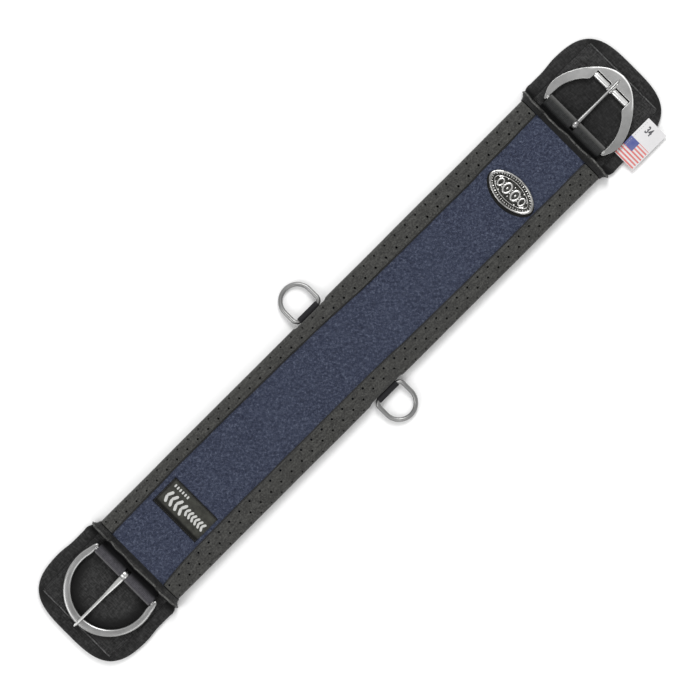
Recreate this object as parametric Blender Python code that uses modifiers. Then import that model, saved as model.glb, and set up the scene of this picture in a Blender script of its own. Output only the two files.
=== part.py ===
"""Western saddle girth, 34 inches from buckle nose to buckle nose.

A load web runs from buckle to buckle inside a sleeve: foam core below it, a
navy loop-pile face above it. A perforated neoprene liner lies under the
sleeve, and its two long edges fold up over the face, where hook strips hold
them. At each end the liner runs on past the sleeve as a rounded guard pad
behind the buckle. One buckle is plain, the other has two rollers. A cross
strap under the foam carries a dee ring at each edge.

X runs along the girth, towards the roller buckle. Y runs across it. Z is up,
from the liner's back to the face. The origin is the middle of the footprint.
All dimensions below are in millimetres.
"""

import math

import bmesh
import bpy
from mathutils import Matrix, Vector

MM = 0.001
GAP = 0.3  # clearance between pieces that touch

# Footprint
BODY_W = 60.5  # half width of the sleeve and liner
PAD_W = 69.5  # half width of a guard pad
PAD_END = 447.5  # from the middle to a pad's nose
PAD_CENTRE = 380.0  # centre of the pad's rounded end
PAD_POWER = 3.4  # superellipse exponent of the rounded end
NECK = (329.0, 352.0)  # where the width flares from body to pad
BODY_END = 331.0  # end of the liner's folded edges
SLEEVE_END = 340.0  # end of the face

# Heights
LINER_T = 4.0
FOAM_Z = (4.3, 11.5)
WEB_Z = (9.1, 11.5)
FACE_Z = (11.8, 13.6)
HOOK_Z = (13.9, 14.8)
LIP_Z = (15.1, 17.6)
PANEL_Z = (4.3, 5.8)
BIND_TOP = 5.5

# Buckle bars
BAR_X = 355.0
BAR_Z = 11.5
BAR_R = 3.2
WEB_W = 42.6  # half width of the load web
WEB_PLY = 1.8
EYE_WALL = 1.8  # wall of a tongue's eye
ARM_IN = 43.2  # inner faces of a buckle's arms
FRAME_T = 5.6
PLAIN_TILT = math.radians(1.9)
ROLLER_TILT = math.radians(1.6)
PIN_X = 56.0  # roller pin, from the bar
PIN_R = 1.5
ROLLER_R = 3.75

# Dee rings
DEE_X = -3.0
DEE_Y = 62.4
DEE_Z = 7.0
DEE_R = 2.6  # wire radius
DEE_HALF = 18.9  # half width, on the wire's centreline
DEE_REACH = 37.0  # bar to bow, on the wire's centreline
DEE_DROOP = math.radians(6.3)
KEEPER_W = 14.4  # half width of the cross strap

for old in list(bpy.data.objects):
    bpy.data.objects.remove(old)

parts = bpy.data.collections.new("saddle_girth")
cutters = bpy.data.collections.new("cutters")
bpy.context.scene.collection.children.link(parts)
bpy.context.scene.collection.children.link(cutters)


def material(name, colour, roughness, metallic=0.0):
    made = bpy.data.materials.new(name)
    made.use_nodes = True
    shader = made.node_tree.nodes["Principled BSDF"]
    shader.inputs["Base Color"].default_value = (*colour, 1.0)
    shader.inputs["Roughness"].default_value = roughness
    shader.inputs["Metallic"].default_value = metallic
    return made


LINER = material("perforated_neoprene", (0.062, 0.062, 0.061), 0.85)
NAVY = material("navy_loop_face", (0.042, 0.055, 0.095), 0.95)
BLACK_CLOTH = material("black_stretch_cloth", (0.018, 0.018, 0.018), 0.9)
FOAM = material("closed_cell_foam", (0.08, 0.08, 0.08), 0.9)
WEBBING = material("nylon_webbing", (0.028, 0.028, 0.03), 0.6)
STEEL = material("stainless_steel", (0.62, 0.62, 0.61), 0.28, 1.0)
SILVER = material("antique_silver", (0.5, 0.49, 0.46), 0.35, 1.0)
HOOK = material("hook_tape", (0.02, 0.02, 0.02), 0.7)
THREAD = material("black_thread", (0.012, 0.012, 0.012), 0.6)
LABEL = material("woven_label", (0.035, 0.036, 0.03), 0.8)
TAG = material("white_tag", (0.75, 0.75, 0.73), 0.8)

PLANES = {  # columns: where the outline's x and y and its thickness go
    "XY": ((1, 0, 0), (0, 1, 0), (0, 0, 1)),
    "XZ": ((1, 0, 0), (0, 0, 1), (0, -1, 0)),
    "YZ": ((0, 1, 0), (0, 0, 1), (1, 0, 0)),
}


def put(obj, look, cutter=False):
    """Files the object as a part or as a cutter."""
    for holder in list(obj.users_collection):
        holder.objects.unlink(obj)
    (cutters if cutter else parts).objects.link(obj)
    if cutter:
        obj.hide_render = True
        obj.display_type = "WIRE"
    elif look:
        obj.data.materials.clear()
        obj.data.materials.append(look)
    return obj


def as_mesh(curve):
    """The curve as a mesh object with its caps welded."""
    bpy.context.view_layer.update()
    graph = bpy.context.evaluated_depsgraph_get()
    mesh = bpy.data.meshes.new_from_object(curve.evaluated_get(graph))
    work = bmesh.new()
    work.from_mesh(mesh)
    bmesh.ops.remove_doubles(work, verts=work.verts, dist=1e-6)
    bmesh.ops.recalc_face_normals(work, faces=work.faces)
    work.to_mesh(mesh)
    work.free()
    name, world = curve.name, curve.matrix_world.copy()
    bpy.data.objects.remove(curve)
    made = bpy.data.objects.new(name, mesh)
    made.matrix_world = world
    return made


def plate(name, loops, low, high, plane="XY", look=None, cutter=False, parent=None):
    """A flat outline, with any holes, given thickness from low to high."""
    data = bpy.data.curves.new(name, "CURVE")
    data.dimensions = "2D"
    data.fill_mode = "BOTH"
    data.extrude = (high - low) / 2 * MM
    for loop in loops:
        spline = data.splines.new("POLY")
        spline.points.add(len(loop) - 1)
        for point, (u, v) in zip(spline.points, loop):
            point.co = (u * MM, v * MM, 0, 1)
        spline.use_cyclic_u = True
    curve = bpy.data.objects.new(name, data)
    turn = Matrix(PLANES[plane]).transposed().to_4x4()
    normal = Vector({"XY": (0, 0, 1), "XZ": (0, 1, 0), "YZ": (1, 0, 0)}[plane])
    curve.matrix_world = Matrix.Translation(normal * (low + high) / 2 * MM) @ turn
    bpy.context.scene.collection.objects.link(curve)
    made = put(as_mesh(curve), look, cutter)
    if parent:
        local = made.matrix_world.copy()
        made.parent = parent
        made.matrix_local = local
    return made


def box(name, low, high, cutter=True, look=None, parent=None):
    size = [(b - a) * MM for a, b in zip(low, high)]
    centre = [(a + b) / 2 * MM for a, b in zip(low, high)]
    mesh = bpy.data.meshes.new(name)
    work = bmesh.new()
    bmesh.ops.create_cube(work, size=1.0, matrix=Matrix.Diagonal((*size, 1.0)))
    work.to_mesh(mesh)
    work.free()
    made = bpy.data.objects.new(name, mesh)
    made.location = centre
    made.parent = parent
    return put(made, look, cutter)


def rod(name, radius, low, high, x, z, segments=24, look=None, cutter=False, parent=None):
    """A round rod along Y."""
    mesh = bpy.data.meshes.new(name)
    work = bmesh.new()
    bmesh.ops.create_cone(
        work,
        cap_ends=True,
        segments=segments,
        radius1=radius * MM,
        radius2=radius * MM,
        depth=(high - low) * MM,
        matrix=Matrix.Rotation(math.pi / 2, 4, "X"),
    )
    work.to_mesh(mesh)
    work.free()
    made = bpy.data.objects.new(name, mesh)
    made.location = (x * MM, (low + high) / 2 * MM, z * MM)
    made.parent = parent
    return put(made, look, cutter)


def boolean(obj, other, operation="DIFFERENCE"):
    change = obj.modifiers.new(operation.lower() + "_" + other.name, "BOOLEAN")
    change.operation = operation
    change.solver = "EXACT"
    change.object = other
    return change


def bevel(obj, width, segments=2, angle=40):
    """Rounds the sharp edges. The flat caps become single faces first, so that each edge has a true offset."""
    work = bmesh.new()
    work.from_mesh(obj.data)
    bmesh.ops.dissolve_limit(work, angle_limit=0.01, verts=work.verts, edges=work.edges)
    work.to_mesh(obj.data)
    work.free()
    change = obj.modifiers.new("rounded_edges", "BEVEL")
    change.width = width * MM
    change.segments = segments
    change.limit_method = "ANGLE"
    change.angle_limit = math.radians(angle)
    change.use_clamp_overlap = True
    return change


def smooth(t):
    t = min(1.0, max(0.0, t))
    return t * t * (3 - 2 * t)


def half_width(x):
    """Half width of the footprint at a distance x from the middle."""
    x = abs(x)
    if x > PAD_CENTRE:
        share = (x - PAD_CENTRE) / (PAD_END - PAD_CENTRE)
        return PAD_W * max(0.0, 1 - share**PAD_POWER) ** (1 / PAD_POWER)
    return BODY_W + (PAD_W - BODY_W) * smooth((x - NECK[0]) / (NECK[1] - NECK[0]))


def pad_end(inset, start, steps=18):
    """The pad's outline, inset, from (start, +w) round the nose to (start, -w)."""
    a, b = PAD_END - PAD_CENTRE - inset, PAD_W - inset
    top = []
    count = 6
    for i in range(count):  # the flare, then one straight run to the rounded end
        x = start + (NECK[1] - start) * i / (count - 1)
        top.append((x, half_width(x) - inset))
    for i in range(steps + 1):
        angle = math.pi / 2 * (1 - i / steps)
        top.append(
            (
                PAD_CENTRE + a * abs(math.cos(angle)) ** (2 / PAD_POWER),
                b * abs(math.sin(angle)) ** (2 / PAD_POWER),
            )
        )
    return top + [(x, -y) for x, y in reversed(top[:-1])]


def flip(points, side):
    """The outline for the end at side +1 or -1."""
    return [(x * side, y) for x, y in (points if side > 0 else reversed(points))]


def rounded(x0, x1, y, radius, steps=5):
    """A rectangle's far end at x1, rounded, from (x0, +y) to (x0, -y)."""
    top = [(x0, y)]
    for i in range(steps + 1):
        a = math.pi / 2 * (1 - i / steps)
        top.append((x1 - radius + radius * math.cos(a), y - radius + radius * math.sin(a)))
    return top + [(x, -v) for x, v in reversed(top)]


def circle(x, y, radius, steps=32, start=0.0, end=2 * math.pi):
    whole = abs(end - start - 2 * math.pi) < 1e-9
    count = steps if whole else steps + 1
    return [
        (
            x + radius * math.cos(start + (end - start) * i / steps),
            y + radius * math.sin(start + (end - start) * i / steps),
        )
        for i in range(count)
    ]


def through(points, per=5):
    """A smooth line through the points (Catmull-Rom)."""
    made = []
    for i in range(len(points) - 1):
        p0, p1 = points[max(0, i - 1)], points[i]
        p2, p3 = points[i + 1], points[min(len(points) - 1, i + 2)]
        for k in range(per):
            t = k / per
            made.append(
                tuple(
                    0.5
                    * (
                        2 * b
                        + (c - a) * t
                        + (2 * a - 5 * b + 4 * c - d) * t * t
                        + (3 * b - a - 3 * c + d) * t**3
                    )
                    for a, b, c, d in zip(p0, p1, p2, p3)
                )
            )
    return made + [points[-1]]


def tangent(px, py, cx, cy, radius, side):
    """Where a line from (px, py) touches a circle. side +1 is to the left of the way there."""
    dx, dy = px - cx, py - cy
    d = math.hypot(dx, dy)
    base, turn = math.atan2(dy, dx), math.acos(radius / d)
    a = base - side * turn
    return a


# ---------------------------------------------------------------- liner
# The inner edges of its two folded lips aren't parallel: it was wrapped by hand.
FRONT_LIP = [(-331, 44.0), (-224, 45.6), (-100, 44.6), (0, 42.4), (70, 39.2), (206, 37.9), (331, 40.0)]
REAR_LIP = [(-331, -39.4), (-290, -36.2), (-224, -35.1), (0, -35.6), (60, -38.0), (206, -39.0), (331, -39.0)]

liner_start = 343.4
near = [(x, half_width(x)) for x in (329.0, 332.0, 335.0, 338.0, 341.0)]
upper = [(-x, w) for x, w in reversed(near)] + near
right = pad_end(1.5, liner_start)
outline = upper + right + [(x, -w) for x, w in reversed(upper)] + flip(right, -1)
liner = plate("liner", [outline], 0.0, LIP_Z[1], look=LINER)
# One block, hollowed for the sleeve, opened between the lips and lowered at the pads.
boolean(liner, box("sleeve_space", (-400, -57.5, LINER_T), (400, 57.5, LIP_Z[0])))
between = through(FRONT_LIP, 4) + [(360, 40.0), (360, -39.0)] + list(reversed(through(REAR_LIP, 4))) + [(-360, -39.4), (-360, 44.0)]
boolean(liner, plate("between_lips", [between], LIP_Z[0] - 2, 25, cutter=True))
for side in (-1, 1):
    word = "roller" if side > 0 else "plain"
    boolean(
        liner,
        box(
            "pad_top_" + word,
            (min(BODY_END * side, 470 * side), -90, LINER_T),
            (max(BODY_END * side, 470 * side), 90, 25),
        ),
    )
for side in (-1, 1):
    word = "roller" if side > 0 else "plain"
    ring = [(liner_start - 0.05, -90), (470, -90), (470, 90), (liner_start - 0.05, 90)]
    recess = plate(
        "binding_recess_" + word,
        [flip(ring + pad_end(8.6, liner_start - 0.05), side)],
        -2.0,
        1.3,
        cutter=True,
    )
    boolean(liner, recess)
    notch = box(
        "dee_notch_" + word,
        (DEE_X - 22.8, min(59.5 * side, 70 * side), -2),
        (DEE_X + 22.8, max(59.5 * side, 70 * side), 20),
    )
    boolean(liner, notch)
    slot = box(
        "keeper_slot_" + word,
        (DEE_X - KEEPER_W - 0.6, min(56.3 * side, 62 * side), 2.3),
        (DEE_X + KEEPER_W + 0.6, max(56.3 * side, 62 * side), 11.7),
    )
    boolean(liner, slot)

# ---------------------------------------------------------------- sleeve
foam = box("foam_core", (-322, -56.8, FOAM_Z[0]), (322, 56.8, FOAM_Z[1]), cutter=False, look=FOAM)
boolean(foam, box("web_channel", (-330, -WEB_W - 0.4, WEB_Z[0] - GAP), (330, WEB_W + 0.4, 14)))
boolean(
    foam,
    box("keeper_channel", (DEE_X - KEEPER_W - 0.4, -60, 2), (DEE_X + KEEPER_W + 0.4, 60, 5.9)),
)
for side in (-1, 1):  # the strap rises round the ring's bar here
    boolean(
        foam,
        box(
            "keeper_rise_" + ("front" if side > 0 else "rear"),
            (DEE_X - KEEPER_W - 0.4, min(54.9 * side, 60 * side), 2),
            (DEE_X + KEEPER_W + 0.4, max(54.9 * side, 60 * side), 20),
        ),
    )

# Load web: one strap, turned round each buckle's bar, with a slot for the tongue.
LOOP_OUT = BAR_R + 0.35 + WEB_PLY
top_a = tangent(343.0, 10.6, BAR_X, BAR_Z, LOOP_OUT, 1)
low_a = tangent(343.0, 8.2, BAR_X, BAR_Z, LOOP_OUT, -1)
low_a = low_a - 2 * math.pi if low_a > top_a else low_a
half = [(0, WEB_Z[1]), (318, WEB_Z[1]), (330, 10.6), (343, 10.6)]
half += circle(BAR_X, BAR_Z, LOOP_OUT, 24, top_a, low_a)
half += [(343, 8.2), (330, 8.2), (318, WEB_Z[0]), (0, WEB_Z[0])]
web_outline = half + [(-x, z) for x, z in reversed(half[1:-1])]
load_web = plate(
    "load_web",
    [web_outline, circle(BAR_X, BAR_Z, BAR_R + 0.35, 24), circle(-BAR_X, BAR_Z, BAR_R + 0.35, 24)],
    -WEB_W,
    WEB_W,
    "XZ",
    look=WEBBING,
)
for side in (-1, 1):
    word = "roller" if side > 0 else "plain"
    boolean(
        load_web,
        box(
            "tongue_slot_" + word,
            (min(343.2 * side, 366 * side), -4.7, 2),
            (max(343.2 * side, 366 * side), 4.7, 20),
        ),
    )
    # Bartack: the thread bar sunk across the web that closes each loop.
    boolean(
        load_web,
        box(
            "bartack_seat_" + word,
            (min(300 * side, 306 * side), -37, WEB_Z[1] - 0.8),
            (max(300 * side, 306 * side), 37, 20),
        ),
    )
    plate(
        "loop_bartack_" + word + "_end",
        [flip(rounded(300.4, 305.6, 36.4, 1.2, 3), side)],
        WEB_Z[1] - 0.5,
        WEB_Z[1],
        look=THREAD,
    )

# Face, with stepped holes for the badge's rivets
BADGE = (251.0, -2.6)
face = plate(
    "navy_face",
    [[(-SLEEVE_END, -56.6), (SLEEVE_END, -56.6), (SLEEVE_END, 56.6), (-SLEEVE_END, 56.6)]],
    *FACE_Z,
    look=NAVY,
)
for word, dy in (("front", 20.0), ("rear", -20.0)):
    boolean(
        face,
        plate("rivet_hole_" + word, [circle(BADGE[0], BADGE[1] + dy, 1.5, 20)], 10, 15, cutter=True),
    )
    boolean(
        face,
        plate("rivet_sink_" + word, [circle(BADGE[0], BADGE[1] + dy, 3.4, 20)], 10, 12.8, cutter=True),
    )
    data = bpy.data.meshes.new("badge_rivet_" + word)
    profile = [(0, 13.6), (1.2, 13.6), (1.2, 12.5), (3.0, 12.5), (3.0, 11.8), (0, 11.8)]
    data.from_pydata(
        [(r * MM, 0, z * MM) for r, z in profile],
        [(i, i + 1) for i in range(len(profile) - 1)],
        [],
    )
    rivet = put(bpy.data.objects.new("badge_rivet_" + word, data), STEEL)
    rivet.location = (BADGE[0] * MM, (BADGE[1] + dy) * MM, 0)
    turn = rivet.modifiers.new("turned", "SCREW")
    turn.steps = turn.render_steps = 20
    turn.use_merge_vertices = True
    turn.merge_threshold = 0.00005

# Hook strips under the liner's lips
for word, lo, hi in (("front", 47.6, 56.4), ("rear", -56.4, -42.6)):
    strip = box("hook_strip_" + word, (-320, lo, HOOK_Z[0]), (320, hi, HOOK_Z[1]), cutter=False, look=HOOK)

# Oval badge with a raised rim
def ellipse(cx, cy, a, b, power=1.85, steps=32):
    made = []
    for i in range(steps):
        t = 2 * math.pi * i / steps
        c, s = math.cos(t), math.sin(t)
        made.append(
            (
                cx + a * math.copysign(abs(c) ** (2 / power), c),
                cy + b * math.copysign(abs(s) ** (2 / power), s),
            )
        )
    return made


badge = plate("oval_badge", [ellipse(*BADGE, 17.4, 31.6)], 13.9, 16.1, look=SILVER)
bevel(badge, 0.5, 1)
boolean(badge, plate("badge_recess", [ellipse(*BADGE, 15.2, 29.2)], 15.3, 18, cutter=True))

label = plate(
    "woven_label",
    [[(-273.6, -29.2), (-237.0, -29.2), (-237.0, 37.2), (-273.6, 37.2)]],
    13.9,
    14.6,
    look=LABEL,
)

# ---------------------------------------------------------------- end guards
for side in (-1, 1):
    word = "roller" if side > 0 else "plain"
    # Hem: the bound mouth of the sleeve, an arch from edge to edge.
    arch = [
        (-64.5, 4.3), (-64.5, 15.3), (-61.5, 17.9), (-39, 17.9), (-36, 15.8),
        (36, 15.8), (39, 17.9), (61.5, 17.9), (64.5, 15.3), (64.5, 4.3),
        (58.2, 4.3), (58.2, 10.9), (-58.2, 10.9), (-58.2, 4.3),
    ]
    hem = plate(
        "neck_hem_" + word + "_end",
        [arch],
        min(331.4 * side, 342.6 * side),
        max(331.4 * side, 342.6 * side),
        "YZ",
        look=BLACK_CLOTH,
    )
    bevel(hem, 0.9, 2, 60)
    boolean(
        hem,
        box(
            "hem_slot_" + word,
            (min(325 * side, 340.4 * side), -56.95, 11.5),
            (max(325 * side, 340.4 * side), 56.95, 13.9),
        ),
    )
    # Binding: wraps the pad's rim, wide on the front and narrow on the back.
    start = 343.7
    region = pad_end(0.0, start) + list(reversed(rounded(start, 432.3, 54.3, 4.0)))
    binding = plate("guard_binding_" + word + "_end", [flip(region, side)], 0.0, BIND_TOP, look=BLACK_CLOTH)
    boolean(
        binding,
        plate("liner_edge_" + word, [flip(pad_end(1.2, start - 6), side)], 1.0, PANEL_Z[0], cutter=True),
    )
    boolean(
        binding,
        plate("binding_back_" + word, [flip(pad_end(8.2, start - 6), side)], -2.0, 1.05, cutter=True),
    )
    # Panel: the cloth behind the buckle, sewn down by a U-shaped seam.
    panel = plate(
        "guard_panel_" + word + "_end",
        [flip(rounded(344.0, 431.7, 53.7, 3.6), side)],
        *PANEL_Z,
        look=BLACK_CLOTH,
    )
    groove = rounded(346.5, 429.3, 51.3, 2.6) + list(reversed(rounded(346.5, 427.5, 49.5, 1.4)))
    boolean(
        panel,
        plate("seam_groove_" + word, [flip(groove, side)], 4.95, 8.0, cutter=True),
    )
    thread = rounded(347.0, 428.95, 50.95, 2.3) + list(reversed(rounded(347.0, 427.85, 49.85, 1.6)))
    plate("guard_seam_" + word + "_end", [flip(thread, side)], 5.25, 5.7, look=THREAD)

size_tag = plate(
    "size_tag",
    [[(364.8, -80.9), (418.6, -80.9), (418.6, -52.6), (364.8, -52.6)]],
    6.1,
    6.9,
    look=TAG,
)

# ---------------------------------------------------------------- dee rings
KEEP_OUT = DEE_R + 0.35 + 1.3
up_a = tangent(55.6, 5.6, DEE_Y, DEE_Z, KEEP_OUT, 1)
down_a = tangent(55.6, 4.3, DEE_Y, DEE_Z, KEEP_OUT, -1)
down_a = down_a - 2 * math.pi if down_a > up_a else down_a
half = [(0, 5.6), (55.6, 5.6)] + circle(DEE_Y, DEE_Z, KEEP_OUT, 22, up_a, down_a) + [(55.6, 4.3), (0, 4.3)]
keeper_outline = half + [(-y, z) for y, z in reversed(half[1:-1])]
keeper = plate(
    "dee_keeper_strap",
    [
        keeper_outline,
        circle(DEE_Y, DEE_Z, DEE_R + 0.35, 22),
        circle(-DEE_Y, DEE_Z, DEE_R + 0.35, 22),
    ],
    DEE_X - KEEPER_W,
    DEE_X + KEEPER_W,
    "YZ",
    look=WEBBING,
)

for side in (-1, 1):
    word = "front" if side > 0 else "rear"
    axis = bpy.data.objects.new("dee_axis_" + word, None)
    parts.objects.link(axis)
    axis.location = (DEE_X * MM, DEE_Y * side * MM, DEE_Z * MM)
    # local +Y points away from the girth, drooping to the surface it lies on
    turn = Matrix.Rotation(math.pi if side < 0 else 0.0, 3, "Z") @ Matrix.Rotation(-DEE_DROOP, 3, "X")
    axis.rotation_euler = turn.to_euler()
    corner = 3.6
    centre = DEE_REACH - DEE_HALF
    path = []
    for i in range(5):
        a = -math.pi / 2 + math.pi / 2 * i / 4
        path.append((DEE_HALF - corner + corner * math.cos(a), corner + corner * math.sin(a)))
    for i in range(1, 20):
        a = math.pi * i / 20
        path.append((DEE_HALF * math.cos(a), centre + DEE_HALF * math.sin(a)))
    for i in range(5):
        a = math.pi + math.pi / 2 * i / 4
        path.append((-DEE_HALF + corner + corner * math.cos(a), corner + corner * math.sin(a)))
    data = bpy.data.curves.new("dee_ring_" + word, "CURVE")
    data.dimensions = "3D"
    data.bevel_depth = DEE_R * MM
    data.bevel_resolution = 2
    spline = data.splines.new("POLY")
    spline.points.add(len(path) - 1)
    for point, (x, y) in zip(spline.points, path):
        point.co = (x * MM, y * MM, 0, 1)
    spline.use_cyclic_u = True
    ring = put(bpy.data.objects.new("dee_ring_" + word, data), STEEL)
    ring.parent = axis

# ---------------------------------------------------------------- buckles
def buckle_axis(name, side, tilt):
    """An empty on the bar. Its +X points at the buckle's bow."""
    made = bpy.data.objects.new(name, None)
    parts.objects.link(made)
    made.location = (BAR_X * side * MM, 0, BAR_Z * MM)
    turn = Matrix.Rotation(math.pi if side < 0 else 0.0, 3, "Z") @ Matrix.Rotation(tilt, 3, "Y")
    made.rotation_euler = turn.to_euler()
    bpy.context.view_layer.update()
    return made


TIP = -4.2  # the arms end this far behind the bar

# Plain buckle: a round bow, closed by the bar
plain_axis = buckle_axis("plain_buckle_axis", -1, PLAIN_TILT)
BOW_X, BOW_OUT, BOW_IN = 22.0, 53.6, 44.7
end_out = math.acos((TIP - BOW_X) / BOW_OUT)
turn_in = math.asin(ARM_IN / BOW_IN)
outer = circle(BOW_X, 0, BOW_OUT, 42, end_out, -end_out)
inner = circle(BOW_X, 0, BOW_IN, 34, -(math.pi - turn_in), math.pi - turn_in)
frame_outline = outer + [(TIP, -ARM_IN)] + inner + [(TIP, ARM_IN)]
plain_frame = plate(
    "plain_buckle_frame", [frame_outline], -FRAME_T / 2, FRAME_T / 2, look=STEEL, parent=plain_axis
)
bevel(plain_frame, 1.3, 2, 40)
boolean(plain_frame, rod("plain_bar", BAR_R, -45.2, 45.2, 0, 0, cutter=True, parent=plain_axis), "UNION")

# Roller buckle: a nose plate with a window for two rollers either side of a lug
roller_axis = buckle_axis("roller_buckle_axis", 1, ROLLER_TILT)
rim = through(
    [(TIP, 45.4), (1.0, 49.2), (11.0, 52.2), (23.0, 51.6), (34.0, 48.2), (46.7, 41.6),
     (58.0, 33.8), (68.0, 23.0), (74.2, 11.8), (76.4, 0.0)],
    3,
)
rim += [(x, -y) for x, y in reversed(rim[:-1])]
hole = [(TIP, ARM_IN)] + through(
    [(9.0, ARM_IN), (17.0, 42.6), (24.0, 40.8), (32.0, 37.4), (40.5, 32.0), (46.6, 26.4)], 3
)
hole += [(49.0, 24.9), (61.0, 24.9), (61.0, 3.4), (51.8, 3.4)]
hole += [(x, -y) for x, y in reversed(hole)]
roller_frame = plate(
    "roller_buckle_frame",
    [rim + list(reversed(hole))],
    -FRAME_T / 2,
    FRAME_T / 2,
    look=STEEL,
    parent=roller_axis,
)
bevel(roller_frame, 0.9, 2, 40)
boolean(roller_frame, rod("roller_bar", BAR_R, -45.2, 45.2, 0, 0, cutter=True, parent=roller_axis), "UNION")
boolean(
    roller_frame,
    rod("pin_bore", PIN_R + 0.25, -29.6, 29.6, PIN_X, 0, 20, cutter=True, parent=roller_axis),
)
boolean(
    roller_frame,
    box("tongue_groove", (48.0, -2.5, 1.4), (70.6, 2.5, 6.0), parent=roller_axis),
)
rod("roller_axle_pin", PIN_R, -29.2, 29.2, PIN_X, 0, 20, look=STEEL, parent=roller_axis)
for word, lo, hi in (("front", 3.9, 24.4), ("rear", -24.4, -3.9)):
    roller = plate(
        "roller_" + word,
        [circle(0, 0, ROLLER_R, 20), circle(0, 0, PIN_R + 0.3, 16)],
        lo,
        hi,
        "XZ",
        look=STEEL,
        parent=roller_axis,
    )
    roller.location.x = PIN_X * MM
    bevel(roller, 0.35, 1)


def tongue(name, axis, width, tip_width, line, thick, look):
    """A pin whose eye closes round the bar. line is the shank's centreline, from the eye to the tip."""
    eye_out = BAR_R + 0.35 + EYE_WALL
    top = [(x, z + t / 2) for (x, z), t in zip(line, thick)]
    low = [(x, z - t / 2) for (x, z), t in zip(line, thick)]
    nose = line[-1]
    # Where the shank's upper and lower lines meet the eye
    start = math.atan2(top[0][1], top[0][0])
    stop = math.atan2(low[0][1], low[0][0])
    eye = circle(0, 0, eye_out, 26, start, stop + 2 * math.pi)
    outline = eye + low[1:] + [(nose[0] + thick[-1] * 0.4, nose[1])] + list(reversed(top[1:]))
    made = plate(name, [outline, circle(0, 0, BAR_R + 0.35, 24)], -width / 2, width / 2, "XZ", look=look, parent=axis)
    length = nose[0] * MM
    for v in made.data.vertices:  # the shank narrows to its tip
        share = min(1.0, max(0.0, (v.co.x - 0.012) / (length - 0.012)))
        v.co.z *= 1 + (tip_width / width - 1) * share
    return made


tongue(
    "plain_buckle_tongue",
    plain_axis,
    6.4,
    3.2,
    [(4.6, 2.0), (20, 2.8), (40, 3.8), (60, 4.6), (72, 4.85), (79.6, 4.85)],
    [3.4, 3.2, 3.1, 3.0, 2.9, 2.0],
    STEEL,
)
tongue(
    "roller_buckle_tongue",
    roller_axis,
    4.4,
    3.4,
    [(4.6, 2.0), (20, 2.6), (40, 3.2), (52, 3.35), (62, 3.35), (70.0, 3.3)],
    [3.4, 3.2, 3.2, 3.2, 3.2, 2.4],
    STEEL,
)

for obj in parts.objects:
    if obj.type == "MESH":
        obj.data.set_sharp_from_angle(angle=math.radians(35))
        obj.data.shade_smooth() if hasattr(obj.data, "shade_smooth") else None
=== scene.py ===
"""The looks of the saddle girth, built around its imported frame. Metres; helper lengths in millimetres."""

import math

import bmesh
import bpy
import numpy as np
from mathutils import Matrix, Vector, noise


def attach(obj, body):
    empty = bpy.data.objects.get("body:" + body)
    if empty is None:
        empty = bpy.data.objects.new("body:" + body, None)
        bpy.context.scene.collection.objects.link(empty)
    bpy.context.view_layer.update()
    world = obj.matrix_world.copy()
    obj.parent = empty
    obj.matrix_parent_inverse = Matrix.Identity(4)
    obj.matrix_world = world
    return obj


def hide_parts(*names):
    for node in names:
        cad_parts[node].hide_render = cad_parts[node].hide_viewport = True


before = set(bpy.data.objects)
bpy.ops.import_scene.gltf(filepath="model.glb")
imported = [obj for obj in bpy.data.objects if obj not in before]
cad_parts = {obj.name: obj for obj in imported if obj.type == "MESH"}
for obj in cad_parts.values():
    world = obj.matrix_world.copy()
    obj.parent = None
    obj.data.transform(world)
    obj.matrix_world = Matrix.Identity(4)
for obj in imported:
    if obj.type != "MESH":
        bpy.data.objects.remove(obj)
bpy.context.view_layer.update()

MM = 0.001
scene = bpy.context.scene

# ------------------------------------------------------------------ camera, light, floor
scene.view_settings.view_transform = "Standard"
cam = bpy.data.objects.new("camera", bpy.data.cameras.new("camera"))
scene.collection.objects.link(cam)
cam.data.sensor_width = 36
cam.data.lens = 138
cam.location = (0.0, 0.0, 3.0)
cam.rotation_euler = (0, 0, math.radians(-45))
cam.data.clip_end = 20
scene.camera = cam

world = bpy.data.worlds.new("studio")
scene.world = world
world.use_nodes = True
world.node_tree.nodes["Background"].inputs["Color"].default_value = (1, 1, 1, 1)
world.node_tree.nodes["Background"].inputs["Strength"].default_value = 0.62


def lamp(name, place, aim, size, power):
    data = bpy.data.lights.new(name, "AREA")
    data.shape = "SQUARE"
    data.size = size
    data.energy = power
    made = bpy.data.objects.new(name, data)
    made.location = place
    made.rotation_euler = (Vector(aim) - Vector(place)).to_track_quat("-Z", "Y").to_euler()
    scene.collection.objects.link(made)


lamp("key", (1.05, 0.85, 1.5), (0.05, 0, 0), 0.8, 21)
lamp("fill", (-0.7, -1.2, 1.5), (0, 0, 0), 1.2, 7)
lamp("end_fill", (-1.5, 0.5, 1.3), (-0.2, 0, 0), 0.9, 9)

floor_mesh = bpy.data.meshes.new("floor")
work = bmesh.new()
bmesh.ops.create_grid(work, x_segments=1, y_segments=1, size=4.0)
work.to_mesh(floor_mesh)
work.free()
floor = bpy.data.objects.new("floor", floor_mesh)
floor.location.z = -0.0004
scene.collection.objects.link(floor)


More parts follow.
